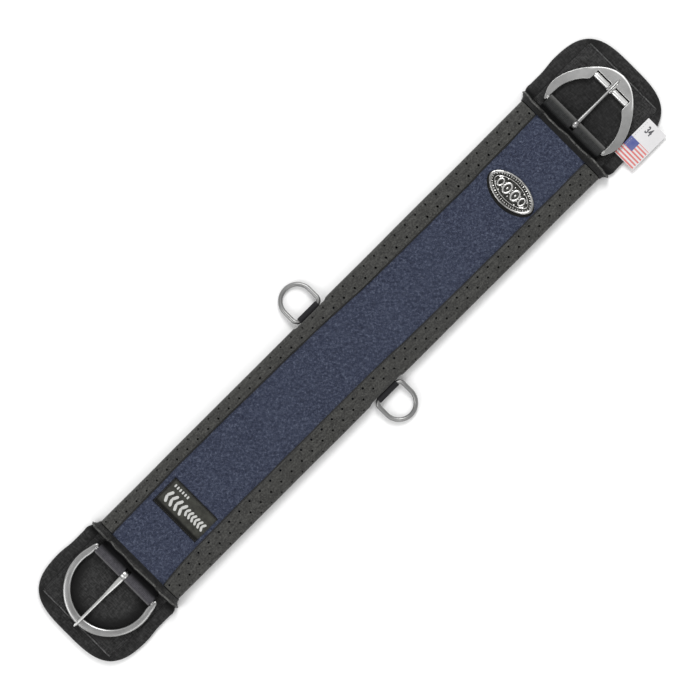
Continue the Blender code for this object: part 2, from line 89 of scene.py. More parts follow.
# ------------------------------------------------------------------ shader helpers
class Look:
    """A node material made step by step."""

    def __init__(self, name, colour=(0.5, 0.5, 0.5), rough=0.7, metal=0.0, sheen=0.0, coat=0.0, spec=0.5):
        self.m = bpy.data.materials.new(name)
        self.m.use_nodes = True
        self.t = self.m.node_tree
        self.b = self.t.nodes["Principled BSDF"]
        self.b.inputs["Base Color"].default_value = (*colour, 1)
        self.b.inputs["Roughness"].default_value = rough
        self.b.inputs["Metallic"].default_value = metal
        self.b.inputs["Sheen Weight"].default_value = sheen
        self.b.inputs["Sheen Roughness"].default_value = 0.5
        self.b.inputs["Coat Weight"].default_value = coat
        self.b.inputs["Specular IOR Level"].default_value = spec
        self.place = self.t.nodes.new("ShaderNodeTexCoord").outputs["Object"]

    def new(self, kind, **inputs):
        n = self.t.nodes.new(kind)
        for k, v in inputs.items():
            key = k.replace("_", " ")
            if hasattr(v, "is_output"):
                self.t.links.new(v, n.inputs[key])
            elif key in n.inputs:
                n.inputs[key].default_value = v
        return n

    def noise(self, scale, detail=3.0, rough=0.55, at=None, stretch=None):
        if stretch:
            at = self.scaled(stretch)
        return self.new("ShaderNodeTexNoise", Vector=at or self.place, Scale=scale, Detail=detail, Roughness=rough).outputs["Fac"]

    def scaled(self, by, turn=(0, 0, 0)):
        n = self.new("ShaderNodeMapping", Vector=self.place)
        n.inputs["Scale"].default_value = by
        n.inputs["Rotation"].default_value = turn
        return n.outputs["Vector"]

    def streaks(self, length, width, degrees):
        """Coordinates stretched along one direction of the XY plane."""
        n = self.new("ShaderNodeMapping", Vector=self.place)
        n.vector_type = "TEXTURE"
        n.inputs["Scale"].default_value = (length, width, 1)
        n.inputs["Rotation"].default_value = (0, 0, math.radians(degrees))
        return n.outputs["Vector"]

    def cells(self, scale, at=None, feature="F1"):
        n = self.new("ShaderNodeTexVoronoi", Vector=at or self.place, Scale=scale)
        n.feature = feature
        return n.outputs["Distance"]

    def bands(self, period_mm, way="X", at=None, distort=0.0):
        n = self.new("ShaderNodeTexWave", Vector=at or self.place, Scale=0.31416 / (period_mm * MM), Distortion=distort)
        n.bands_direction = way
        n.inputs["Detail"].default_value = 1.0
        return n.outputs["Fac"]

    def ramp(self, fac, stops):
        n = self.new("ShaderNodeValToRGB", Fac=fac)
        e = n.color_ramp.elements
        while len(e) < len(stops):
            e.new(0.5)
        for el, (p, c) in zip(e, stops):
            el.position = p
            el.color = (*c, 1) if len(c) == 3 else c
        return n.outputs["Color"]

    def grey(self, fac, lo, hi, a=0.0, b=1.0):
        n = self.new("ShaderNodeMapRange", Value=fac)
        n.inputs["From Min"].default_value = lo
        n.inputs["From Max"].default_value = hi
        n.inputs["To Min"].default_value = a
        n.inputs["To Max"].default_value = b
        return n.outputs["Result"]

    def math(self, op, a, b=0.5):
        n = self.t.nodes.new("ShaderNodeMath")
        n.operation = op
        for i, v in enumerate((a, b)):
            if hasattr(v, "is_output"):
                self.t.links.new(v, n.inputs[i])
            else:
                n.inputs[i].default_value = v
        return n.outputs[0]

    def mix(self, fac, a, b, kind="MIX"):
        n = self.t.nodes.new("ShaderNodeMix")
        n.data_type = "RGBA"
        n.blend_type = kind
        for name, v in (("Factor", fac), ("A", a), ("B", b)):
            socket = [s for s in n.inputs if s.name == name and s.enabled][0]
            if hasattr(v, "is_output"):
                self.t.links.new(v, socket)
            else:
                socket.default_value = v if name == "Factor" else (*v, 1)
        return [s for s in n.outputs if s.enabled][0]

    def xyz(self):
        n = self.new("ShaderNodeSeparateXYZ", Vector=self.place)
        return n.outputs["X"], n.outputs["Y"], n.outputs["Z"]

    def colour(self, c):
        self.t.links.new(c, self.b.inputs["Base Color"])
        return self

    def rough(self, v):
        self.t.links.new(v, self.b.inputs["Roughness"])
        return self

    def bump(self, *heights):
        """heights: (value, depth in mm)."""
        normal = None
        for value, depth in heights:
            n = self.new("ShaderNodeBump", Height=value)
            n.inputs["Distance"].default_value = depth * MM
            n.inputs["Strength"].default_value = 1.0
            if normal:
                self.t.links.new(normal, n.inputs["Normal"])
            normal = n.outputs["Normal"]
        self.t.links.new(normal, self.b.inputs["Normal"])
        return self.m


def lin(r, g, b):
    """sRGB bytes to linear."""
    return tuple((c / 255 / 12.92) if c / 255 <= 0.04045 else ((c / 255 + 0.055) / 1.055) ** 2.4 for c in (r, g, b))


def knit(look, pitch=0.9):
    """Jersey face: fine courses and wales."""
    a = look.bands(pitch, "X", distort=0.6)
    b = look.bands(pitch * 1.25, "Y", distort=0.6)
    return look.math("MULTIPLY", a, b)


def steel(name, base, rough, grain=(1, 14, 1), edge=None, shade=None):
    """Satin steel with fine scratches. edge: a paler colour painted where the surface turns from level, a painted
    highlight on the edges, which are also polished to a lower roughness.
    """
    k = Look(name, base, rough, metal=1.0)
    fine = k.noise(700, 4, 0.6, stretch=grain)
    wear = k.noise(60, 3, 0.6)
    satin = k.grey(k.mix(0.45, k.ramp(fine, [(0.3, (0, 0, 0)), (0.7, (1, 1, 1))]), k.ramp(wear, [(0.35, (0, 0, 0)), (0.7, (1, 1, 1))])), 0, 1, rough - 0.07, rough + 0.1)
    tone = k.mix(k.grey(wear, 0.35, 0.7), tuple(c * 0.88 for c in base), base)
    if edge:
        turn = k.new("ShaderNodeSeparateXYZ", Vector=k.t.nodes["Texture Coordinate"].outputs["Normal"]).outputs["Z"]
        turned_off = k.grey(k.math("ABSOLUTE", turn), 0.985, 0.90)
        tone = k.mix(turned_off, tone, edge)
        satin = k.mix(turned_off, satin, (rough - 0.08,) * 3)
    if shade:
        tone = shade(k, tone)
    k.rough(satin)
    k.colour(tone)
    return k.bump((fine, 0.01), (k.noise(140, 2, 0.5), 0.05))


def painted_nose_light(k, tone):
    """Painted light: the plate's nose is painted paler than its arms, and a painted highlight runs along the nose's
    outer edge.
    """
    x, y, z = k.xyz()
    tone = k.mix(k.grey(x, 0.404, 0.380, 0.0, 0.55), tone, (0.19, 0.19, 0.188))
    far = k.math("SQRT", k.math("ADD", k.math("POWER", k.math("SUBTRACT", x, 0.3926), 2.0), k.math("POWER", y, 2.0)))
    wear_and_glint = k.math("MULTIPLY", k.grey(far, 0.0362, 0.0374), k.math("MULTIPLY", k.grey(k.math("ABSOLUTE", y), 0.036, 0.026), k.grey(x, 0.409, 0.414)))
    return k.mix(wear_and_glint, tone, (0.97, 0.97, 0.96))


# Neoprene with a jersey face: darker along the body, paler on the pads' backs
k = Look("neoprene_jersey", lin(68, 68, 66), 0.86, sheen=0.12, spec=0.3)
x, y, z = k.xyz()
heather = k.noise(520, 3, 0.7)
broad = k.noise(14, 3, 0.6)
base = k.ramp(heather, [(0.30, lin(29, 29, 28)), (0.5, lin(51, 51, 49)), (0.70, lin(80, 80, 77))])
base = k.mix(k.grey(broad, 0.35, 0.68, 0.0, 0.3), base, lin(46, 46, 45))
weft = k.noise(260, 2, 0.6, stretch=(0.35, 1.6, 1))
base = k.mix(k.grey(weft, 0.48, 0.72, 0.0, 0.35), base, lin(86, 86, 83))
out = k.grey(k.math("ABSOLUTE", x), 0.332, 0.372)
low = k.grey(z, 0.0045, 0.0015)
base = k.mix(k.math("MULTIPLY", k.math("MULTIPLY", out, low), 0.85), base, k.ramp(heather, [(0.28, lin(84, 84, 82)), (0.74, lin(116, 116, 113))]))
k.colour(base)
NEOPRENE = k.bump((knit(k, 0.9), 0.10), (heather, 0.12), (k.noise(45, 2), 0.35))

# Navy loop pile, flecked
k = Look("navy_loop_pile", lin(63, 69, 85), 0.95, sheen=0.35, spec=0.2)
k.b.inputs["Sheen Tint"].default_value = (0.55, 0.6, 0.75, 1)
k.b.inputs["Sheen Weight"].default_value = 0.22
fleck = k.noise(340, 4, 0.72)
twill = k.noise(330, 3, 0.7, at=k.streaks(2.2, 0.85, -48))
tuft = k.cells(620)
drift = k.noise(22, 3, 0.6)
base = k.ramp(fleck, [(0.32, lin(20, 24, 40)), (0.44, lin(40, 46, 66)), (0.54, lin(56, 62, 82)), (0.67, lin(104, 111, 130))])
base = k.mix(k.grey(twill, 0.5, 0.66, 0.0, 0.5), base, lin(84, 91, 108))
base = k.mix(k.grey(twill, 0.46, 0.34, 0.0, 0.55), base, lin(22, 26, 40))
base = k.mix(k.grey(tuft, 0.25, 0.75, 0.0, 0.4), base, lin(30, 34, 50))
base = k.mix(k.grey(drift, 0.35, 0.7, 0.0, 0.22), base, lin(64, 71, 90))
loops = k.cells(1500)
hair = k.noise(1300, 3, 0.75)
base = k.mix(k.grey(loops, 0.28, 0.62, 0.0, 0.42), base, lin(26, 30, 44))
base = k.mix(k.grey(hair, 0.53, 0.68, 0.0, 0.45), base, lin(112, 119, 138))
k.colour(base)
NAVY = k.bump((fleck, 0.5), (tuft, 0.25), (drift, 0.5), (loops, 0.22), (hair, 0.12))


def cloth(name, dark, light, pitch, sheen=0.12, shade=None):
    """Stretch knit. shade(look, colour) may change the colour by place."""
    k = Look(name, light, 0.88, sheen=sheen, spec=0.25)
    grain = k.noise(330, 4, 0.72)
    slub = k.noise(720, 3, 0.6, at=k.streaks(5.0, 1.0, 90))
    rib = k.noise(720, 3, 0.6, at=k.streaks(5.0, 1.0, 0))
    cloud = k.noise(28, 3, 0.6)
    base = k.ramp(grain, [(0.38, tuple(c * 0.6 for c in dark)), (0.62, light)])
    base = k.mix(k.grey(slub, 0.51, 0.66, 0.0, 0.66), base, tuple(c * 2.1 for c in light))
    base = k.mix(k.grey(rib, 0.52, 0.66, 0.0, 0.5), base, tuple(c * 1.9 for c in light))
    base = k.mix(k.grey(slub, 0.48, 0.36, 0.0, 0.6), base, tuple(c * 0.3 for c in dark))
    base = k.mix(k.grey(rib, 0.48, 0.36, 0.0, 0.6), base, tuple(c * 0.3 for c in dark))
    base = k.mix(k.grey(cloud, 0.35, 0.7, 0, 0.3), base, tuple(c * 1.5 for c in light))
    if shade:
        base = shade(k, base)
    k.colour(base)
    return k.bump((knit(k, pitch), 0.12), (grain, 0.16), (slub, 0.12), (cloud, 0.4))


def painted_bow_shade(k, base):
    """Painted shade: the cloth is painted darker in the hollow along the inside of the plain buckle's bow, most towards
    -X and -Y.
    """
    x, y, z = k.xyz()
    far = k.math("SQRT", k.math("ADD", k.math("POWER", k.math("ADD", x, 0.377), 2.0), k.math("POWER", y, 2.0)))
    near = k.math("MULTIPLY", k.grey(far, 0.0285, 0.0385), k.grey(far, 0.0500, 0.0445))
    lee = k.math("MAXIMUM", k.grey(x, -0.362, -0.385, 0.35, 1.0), k.grey(y, -0.012, -0.030, 0.35, 1.0))
    return k.mix(k.math("MULTIPLY", k.math("MULTIPLY", near, lee), 0.92), base, lin(6, 6, 6))


def painted_frame_shade(k, base):
    """Painted shade: darker inside the roller buckle, and under the strap loop."""
    x, y, z = k.xyz()
    inner = k.math("MULTIPLY", k.grey(k.math("ABSOLUTE", y), 0.047, 0.030, 0.0, 1.0), k.grey(x, 0.412, 0.398))
    return k.mix(k.math("MULTIPLY", inner, 0.58), base, lin(12, 12, 12))


def painted_rim_shade(k, base):
    """Painted shade: the binding is painted darkest where it turns the outer corners, and inside the neck."""
    x, y, z = k.xyz()
    ax, ay = k.math("ABSOLUTE", x), k.math("ABSOLUTE", y)
    corner = k.math("MULTIPLY", k.grey(ax, 0.4265, 0.434), k.math("MULTIPLY", k.grey(ay, 0.030, 0.047), k.grey(ay, 0.066, 0.058)))
    base = k.mix(k.math("MULTIPLY", corner, 0.7), base, lin(8, 8, 8))
    neck = k.math("MULTIPLY", k.grey(ax, 0.349, 0.345), k.grey(z, 0.004, 0.0055))
    return k.mix(neck, base, lin(6, 6, 6))


def painted_hem_shade(k, base):
    """Painted shade: dark in the fold beside the face, darker at the roller end, and near black down the outboard side.
    """
    x, y, z = k.xyz()
    ax = k.math("ABSOLUTE", x)
    inner = k.math("MULTIPLY", k.grey(ax, 0.3385, 0.3355), k.grey(k.math("ABSOLUTE", y), 0.046, 0.040, 0.25, 1.0))
    base = k.mix(k.math("MULTIPLY", inner, 0.75), base, lin(12, 12, 13))
    base = k.mix(k.math("MULTIPLY", k.math("MULTIPLY", k.grey(x, 0.3392, 0.3368), k.math("GREATER_THAN", x, 0.0)), 0.6), base, lin(12, 12, 13))
    return k.mix(k.grey(ax, 0.3402, 0.3412), base, lin(4, 4, 4))


PANEL_A = cloth("guard_cloth_plain_end", lin(22, 22, 22), lin(44, 44, 44), 1.0, shade=painted_bow_shade)
PANEL_B = cloth("guard_cloth_roller_end", lin(22, 22, 22), lin(46, 46, 46), 1.0, shade=painted_frame_shade)
BINDING = cloth("binding_knit", lin(16, 16, 16), lin(38, 38, 38), 0.8, shade=painted_rim_shade)
HEM = cloth("hem_knit", lin(22, 22, 22), lin(50, 50, 49), 0.8, 0.06, shade=painted_hem_shade)
# a near-black cloth used only as painted shade: across the sleeves' mouths and under the badge
SHADE_CLOTH = cloth("painted_shade_cloth", lin(8, 8, 8), lin(18, 18, 18), 0.9, 0.0)
# the hem's crest cord is paler than the hem: a painted highlight
EDGE = cloth("hem_edge_knit", lin(52, 52, 51), lin(84, 84, 82), 0.7, 0.15)
WELT = cloth("welt_knit", lin(58, 58, 58), lin(84, 84, 84), 0.7, 0.1)

# Webbing: ribs along X, picks across
k = Look("nylon_webbing", lin(52, 51, 55), 0.75, sheen=0.02, spec=0.12)
rib = k.bands(1.5, "Y")
pick = k.bands(0.95, "X")
weave = k.math("MULTIPLY", rib, k.math("ADD", pick, 0.35))
base = k.ramp(k.mix(0.5, k.ramp(weave, [(0, (0, 0, 0)), (1, (1, 1, 1))]), k.ramp(k.noise(300, 3, 0.7), [(0.3, (0, 0, 0)), (0.7, (1, 1, 1))])), [(0.1, lin(34, 34, 37)), (0.9, lin(80, 78, 84))])
x, y, z = k.xyz()
ax = k.math("ABSOLUTE", x)
roller_side = k.math("GREATER_THAN", x, 0.0)
base = k.mix(k.math("MULTIPLY", roller_side, 0.56), base, lin(36, 39, 33))
base = k.mix(k.math("MULTIPLY", k.math("SUBTRACT", 1.0, roller_side), 0.16), base, lin(104, 103, 106))
# painted highlight: a pale strip along the loop's outboard turn round the bar, starting further in at the roller end
base = k.mix(k.math("MULTIPLY", k.grey(ax, 0.3572, 0.3590), 0.55), base, lin(120, 119, 120))
base = k.mix(k.math("MULTIPLY", k.math("MULTIPLY", k.grey(ax, 0.3545, 0.3570), roller_side), 0.32), base, lin(104, 104, 101))
# painted shade: near black inboard of the loop, in the hollow under the hem's edge, starting further inboard at the
# roller end
deep, shallow = k.grey(ax, 0.3520, 0.3475), k.grey(ax, 0.3492, 0.3450)
painted_hollow_shade = k.math("ADD", deep, k.math("MULTIPLY", roller_side, k.math("SUBTRACT", shallow, deep)))
base = k.mix(k.math("MULTIPLY", painted_hollow_shade, 0.98), base, lin(3, 3, 4))
k.colour(base)
WEBBING = k.bump((weave, 0.18), (k.noise(500, 2), 0.05))
k = Look("keeper_webbing", lin(26, 26, 28), 0.7, sheen=0.04, spec=0.2)
rib = k.bands(1.15, "X")
pick = k.bands(0.8, "Y")
weave = k.math("MULTIPLY", rib, k.math("ADD", pick, 0.35))
k.colour(k.ramp(weave, [(0.0, lin(12, 12, 13)), (0.9, lin(44, 44, 47))]))
KEEPER = k.bump((weave, 0.12))

STEEL = steel("satin_steel", (0.62, 0.62, 0.61), 0.32)
TONGUE = steel("tongue_steel", (0.35, 0.35, 0.347), 0.36)
# the bow's and the plate's paler edge colours are painted highlights on their turned edges
BOW = steel("bow_steel", (0.31, 0.31, 0.308), 0.38, edge=(0.46, 0.46, 0.455))
PLATE = steel("satin_plate", (0.34, 0.34, 0.337), 0.38, edge=(0.95, 0.95, 0.94), shade=painted_nose_light)
BRIGHT = steel("bright_roller", (0.88, 0.88, 0.87), 0.30, grain=(14, 1, 14))
RING = steel("ring_steel", (0.29, 0.29, 0.288), 0.36)

k = Look("black_thread", lin(24, 24, 25), 0.55, sheen=0.1)
ply = k.bands(0.5, "DIAGONAL")
k.colour(k.ramp(ply, [(0, lin(14, 14, 15)), (1, lin(42, 42, 44))]))
THREAD = k.bump((ply, 0.06))
k = Look("pale_thread", lin(190, 190, 186), 0.5, sheen=0.2)
ply = k.bands(0.55, "DIAGONAL")
k.colour(k.ramp(ply, [(0, lin(140, 141, 140)), (1, lin(222, 222, 218))]))
SILVER_THREAD = k.bump((ply, 0.08))

k = Look("woven_label_black", lin(34, 35, 32), 0.85, sheen=0.02, spec=0.15)
damask = k.math("MULTIPLY", k.bands(0.7, "X"), k.bands(0.5, "Y"))
base = k.ramp(k.mix(0.5, k.ramp(damask, [(0, (0, 0, 0)), (1, (1, 1, 1))]), k.ramp(k.noise(200, 3), [(0.3, (0, 0, 0)), (0.7, (1, 1, 1))])), [(0.1, lin(46, 46, 43)), (0.9, lin(74, 75, 69))])
x, y, z = k.xyz()
# painted shade: the label is darker along its left, right and top edges
base = k.mix(k.math("MULTIPLY", k.grey(x, -0.2672, -0.2692), 0.88), base, lin(5, 5, 5))
base = k.mix(k.math("MULTIPLY", k.grey(x, -0.2394, -0.2384), 0.8), base, lin(8, 8, 8))
base = k.mix(k.math("MULTIPLY", k.grey(y, 0.0338, 0.0352), 0.7), base, lin(8, 8, 8))
k.colour(base)
LABEL = k.bump((damask, 0.08))

# Antique silver: the hollows stay dark
k = Look("antique_silver", (0.6, 0.59, 0.56), 0.32, metal=1.0)
x, y, z = k.xyz()
high = k.grey(z, 0.01572, 0.01645)
spot = k.noise(260, 4, 0.65)
level = k.mix(0.22, k.ramp(high, [(0.0, (0, 0, 0)), (1.0, (1, 1, 1))]), k.ramp(spot, [(0.3, (0, 0, 0)), (0.7, (1, 1, 1))]))
tone = k.ramp(level, [(0.10, (0.03, 0.03, 0.028)), (0.42, (0.20, 0.20, 0.19)), (0.75, (0.66, 0.655, 0.64))])
x, y, z = k.xyz()
round_it = k.math("SQRT", k.math("ADD", k.math("POWER", k.math("MULTIPLY", k.math("SUBTRACT", x, 0.251), 1 / 0.0174), 2.0), k.math("POWER", k.math("MULTIPLY", k.math("ADD", y, 0.0026), 1 / 0.0316), 2.0)))
wear_and_glint = k.math("MULTIPLY", k.grey(round_it, 0.86, 0.92), k.grey(k.noise(190, 4, 0.7), 0.40, 0.60, 0.25, 0.8))
k.colour(k.mix(wear_and_glint, tone, (0.17, 0.17, 0.165)))
k.rough(k.grey(level, 0.1, 0.85, 0.6, 0.25))
BADGE = k.bump((spot, 0.08))

# Foam, hook tape and rivets, inside
k = Look("cell_foam", lin(72, 72, 72), 0.95, spec=0.2)
bubble = k.cells(900)
k.colour(k.ramp(bubble, [(0.1, lin(34, 34, 34)), (0.7, lin(82, 82, 82))]))
FOAM = k.bump((bubble, 0.3))
k = Look("hook_tape", lin(30, 30, 30), 0.65)
hooks = k.math("MULTIPLY", k.bands(1.5, "X"), k.bands(1.5, "Y"))
k.colour(k.ramp(hooks, [(0.1, lin(16, 16, 16)), (0.9, lin(52, 52, 52))]))
HOOK_TAPE_AND_SHADE = k.bump((hooks, 0.5))

# Pale studio floor
k = Look("pale_floor", (0.9, 0.9, 0.9), 0.9, spec=0.1)
k.colour(k.ramp(k.noise(3, 2), [(0.3, (0.93, 0.93, 0.93)), (0.7, (0.95, 0.95, 0.95))]))
floor.data.materials.append(k.m)


# ------------------------------------------------------------------ mesh helpers
def piece(name, verts, faces, look, body, replaces=(), slot=None, crease=None, mods=()):
    me = bpy.data.meshes.new(name)
    me.from_pydata([tuple(float(c) * MM for c in v) for v in verts], [], [tuple(int(i) for i in f) for f in faces])
    work = bmesh.new()
    work.from_mesh(me)
    loose = [v for v in work.verts if not v.link_faces]
    bmesh.ops.delete(work, geom=loose, context="VERTS")
    bmesh.ops.recalc_face_normals(work, faces=work.faces)
    work.to_mesh(me)
    work.free()
    me.shade_smooth()
    if crease:
        me.set_sharp_from_angle(angle=math.radians(crease))
    me.materials.append(look)
    ob = bpy.data.objects.new(name, me)
    scene.collection.objects.link(ob)
    if replaces:
        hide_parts(*replaces)
    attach(ob, body)
    return ob


def shell(outer, inner, quads):
    """A closed solid between two matching surfaces."""
    n = len(outer)
    faces = [tuple(q) for q in quads] + [tuple(i + n for i in reversed(q)) for q in quads]
    seen = set()
    for q in quads:
        for a, b in zip(q, tuple(q[1:]) + (q[0],)):
            seen.add((a, b))
    for a, b in seen:
        if (b, a) not in seen:
            faces.append((b, a, a + n, b + n))
    return np.vstack([outer, inner]), faces


def loft(rings, loop=False, caps=True):
    """Joins rings of equal count. loop closes the last to the first."""
    m = len(rings[0])
    verts = np.vstack(rings)
    faces = []
    count = len(rings)
    for i in range(count if loop else count - 1):
        a, b = i * m, ((i + 1) % count) * m
        for j in range(m):
            j2 = (j + 1) % m
            faces.append((a + j, a + j2, b + j2, b + j))
    if caps and not loop:
        faces.append(tuple(reversed(range(m))))
        faces.append(tuple((count - 1) * m + j for j in range(m)))
    return verts, faces


def joined(parts):
    """Several (verts, faces) as one."""
    verts, faces, n = [], [], 0
    for v, f in parts:
        verts.append(np.asarray(v, float))
        faces += [tuple(i + n for i in q) for q in f]
        n += len(v)
    return np.vstack(verts), faces


def cord(points, radii, flat=0.85, count=10, up=(0, 0, 1)):
    """A round cord through 3D points, with a radius at each."""
    pts = np.array(points, float)
    rings = []
    n = len(pts)
    for i in range(n):
        d = pts[min(n - 1, i + 1)] - pts[max(0, i - 1)]
        d = d / max(1e-9, np.linalg.norm(d))
        side = np.cross(d, np.array(up, float))
        side = side / max(1e-6, np.linalg.norm(side))
        nrm = np.cross(side, d)
        r = radii[i] if hasattr(radii, "__len__") else radii
        rings.append(np.array([pts[i] + r * (math.cos(w) * side + flat * math.sin(w) * nrm) for w in np.linspace(0, 2 * math.pi, count + 1)[:-1]]))
    return loft(rings)


def sweep(path, power=3.0, count=24):
    """A solid along a path in the XY plane; each point is x, y, half width, half thickness."""
    pts = np.array(path, float)
    rings = []
    n = len(pts)
    for i in range(n):
        d = pts[min(n - 1, i + 1), :2] - pts[max(0, i - 1), :2]
        d = d / max(1e-9, np.linalg.norm(d))
        x, y, a, b = pts[i]
        rings.append(np.array([(x - d[1] * u, y + d[0] * u, w) for u, w in section(a, b, count, power)]))
    return loft(rings)


def section(a, b, count=20, power=2.4):
    """A rounded section of half sizes a and b."""
    made = []
    for i in range(count):
        t = 2 * math.pi * i / count
        c, s = math.cos(t), math.sin(t)
        made.append((a * math.copysign(abs(c) ** (2 / power), c), b * math.copysign(abs(s) ** (2 / power), s)))
    return made


def ease(t):
    t = np.clip(t, 0.0, 1.0)
    return t * t * (3 - 2 * t)


def rough_at(x, y, z=0.0, size=20.0, seed=0.0):
    """Smooth noise, about -1 to 1, with the given size in mm."""
    return noise.noise(Vector((x / size + seed, y / size - seed * 1.7, z / size + seed * 0.37)))


def through(points, per=5):
    made = []
    for i in range(len(points) - 1):
        p0, p1 = points[max(0, i - 1)], points[i]
        p2, p3 = points[i + 1], points[min(len(points) - 1, i + 2)]
        for k in range(per):
            t = k / per
            made.append(tuple(0.5 * (2 * b + (c - a) * t + (2 * a - 5 * b + 4 * c - d) * t * t + (3 * b - a - 3 * c + d) * t**3) for a, b, c, d in zip(p0, p1, p2, p3)))
    return made + [tuple(points[-1])]


# The CAD's own layout, in mm
BODY_W, PAD_W, PAD_END, PAD_CENTRE, PAD_POWER, NECK = 60.5, 69.5, 447.5, 380.0, 3.4, (329.0, 352.0)
FRONT_LIP = [(-331, 44.0), (-224, 45.6), (-100, 44.6), (0, 42.4), (70, 39.2), (206, 37.9), (331, 40.0)]
REAR_LIP = [(-331, -39.4), (-290, -36.2), (-224, -35.1), (0, -35.6), (60, -38.0), (206, -39.0), (331, -39.0)]
BAR_X, BAR_Z, BAR_R, WEB_W = 355.0, 11.5, 3.2, 42.6
PLAIN_TILT, ROLLER_TILT = math.radians(1.9), math.radians(1.6)
DEE_X, DEE_Y, DEE_Z = -3.0, 62.4, 7.0


def curve_at(points, x):
    xs, ys = zip(*through(points, 8))
    return float(np.interp(x, xs, ys))


LIP_X = np.linspace(-331, 331, 200)
FRONT_Y = [curve_at(FRONT_LIP, v) for v in LIP_X]
REAR_Y = [curve_at(REAR_LIP, v) for v in LIP_X]


def front_edge(x):
    return float(np.interp(x, LIP_X, FRONT_Y)) + 0.5 * rough_at(x, 3, size=38, seed=2)


def rear_edge(x):
    return float(np.interp(x, LIP_X, REAR_Y)) + 0.5 * rough_at(x, 9, size=42, seed=5)


def half_width(x):
    x = abs(x)
    if x > PAD_CENTRE:
        share = min(1.0, (x - PAD_CENTRE) / (PAD_END - PAD_CENTRE))
        return PAD_W * max(0.0, 1 - share**PAD_POWER) ** (1 / PAD_POWER)
    return BODY_W + (PAD_W - BODY_W) * float(ease((x - NECK[0]) / (NECK[1] - NECK[0])))


def inset_of(x, y):
    """How far inside the pad's outline a point is."""
    x, y = abs(x), abs(y)
    if x <= PAD_CENTRE:
        return half_width(x) - y
    r = (((x - PAD_CENTRE) / (PAD_END - PAD_CENTRE)) ** PAD_POWER + (y / PAD_W) ** PAD_POWER) ** (1 / PAD_POWER)
    return (1 - r) * 68.5


# ------------------------------------------------------------------ liner
CELL = 662 / 82
ROW = 187.4 / 20
V0 = -97.0
R_FOLD, TOP = 7.5, 17.4
A1 = 53.5
A2 = A1 + R_FOLD * math.pi / 2
A3 = A2 + (TOP - 2 * R_FOLD)
A4 = A3 + R_FOLD * math.pi / 2


def seam_distance(x, y):
    """Distance to the U-shaped seam on the pad's back."""
    x, y = abs(x), abs(y)
    d = 99.0
    if 358 <= x <= 426:
        d = abs(y - 52)
    elif x < 358:
        d = math.hypot(x - 358, y - 52)
    if y <= 52:
        d = min(d, abs(x - 426))
    else:
        d = min(d, math.hypot(x - 426, y - 52))
    return d


def liner_point(x, v, folded):
    """Outer point, outward normal and thickness of the liner at x and at v across the flat cloth."""
    if not folded:
        d = inset_of(x, v)
        z = 1.25 * float(ease((12 - d) / 4.5)) + 0.75 * math.exp(-((seam_distance(x, v) / 1.3) ** 2))
        z += 0.06 * (1 + rough_at(x, v, size=16, seed=4))
        return (x, v, z), (0, 0, -1), 4.1 - z
    s = 1 if v >= 0 else -1
    a = abs(v)
    top = 90.4 if s > 0 else 97.0
    edge = abs(front_edge(x) if s > 0 else rear_edge(x))
    end = A4 + (A1 - edge)
    if a > 70:
        a = 70 + (a - 70) * (end - 70) / (top - 70)
    lift = 0.0
    if a <= A1:
        y, z, ny, nz = a, 0.0, 0.0, -1.0
    elif a <= A2:
        t = (a - A1) / R_FOLD
        y, z, ny, nz = A1 + R_FOLD * math.sin(t), R_FOLD - R_FOLD * math.cos(t), math.sin(t), -math.cos(t)
    elif a <= A3:
        y, z, ny, nz = A1 + R_FOLD, R_FOLD + a - A2, 1.0, 0.0
    elif a <= A4:
        t = (a - A3) / R_FOLD
        y, z, ny, nz = A1 + R_FOLD * math.cos(t), TOP - R_FOLD + R_FOLD * math.sin(t), math.cos(t), math.sin(t)
    else:
        y, z, ny, nz = A1 - (a - A4), TOP, 0.0, 1.0
        share = (a - A4) / max(1.0, end - A4)
        lift = share * (0.25 + 0.55 * (0.5 + 0.5 * rough_at(x, s * 11, size=55, seed=7))) - 0.9 * float(ease((share - 0.86) / 0.14))
    round_part = float(ease((a - A1 + 4) / 10))
    y += round_part * (0.35 * rough_at(x, s * 31, size=70, seed=3) if a < A4 + 4 else 0)
    near = float(ease((26 - abs(x - DEE_X)) / 4))
    if a > A1:
        y -= 1.5 * near * min(1.0, (a - A1) / 6) * (1.0 if a < A4 else max(0.0, 1 - (a - A4) / 12))
    z += lift + 0.12 * (rough_at(x, y * s + 50, size=30, seed=8) + 0.6) * (1 if a > A3 else 0)
    if a < A1:
        z += 0.05 * (1 + rough_at(x, v, size=16, seed=4))
    thick = 4.0 - 1.0 * float(ease((a - 48) / 8)) - 0.6 * float(ease((a - A3) / 8))
    return (x, y * s, z), (0, ny * s, nz), thick


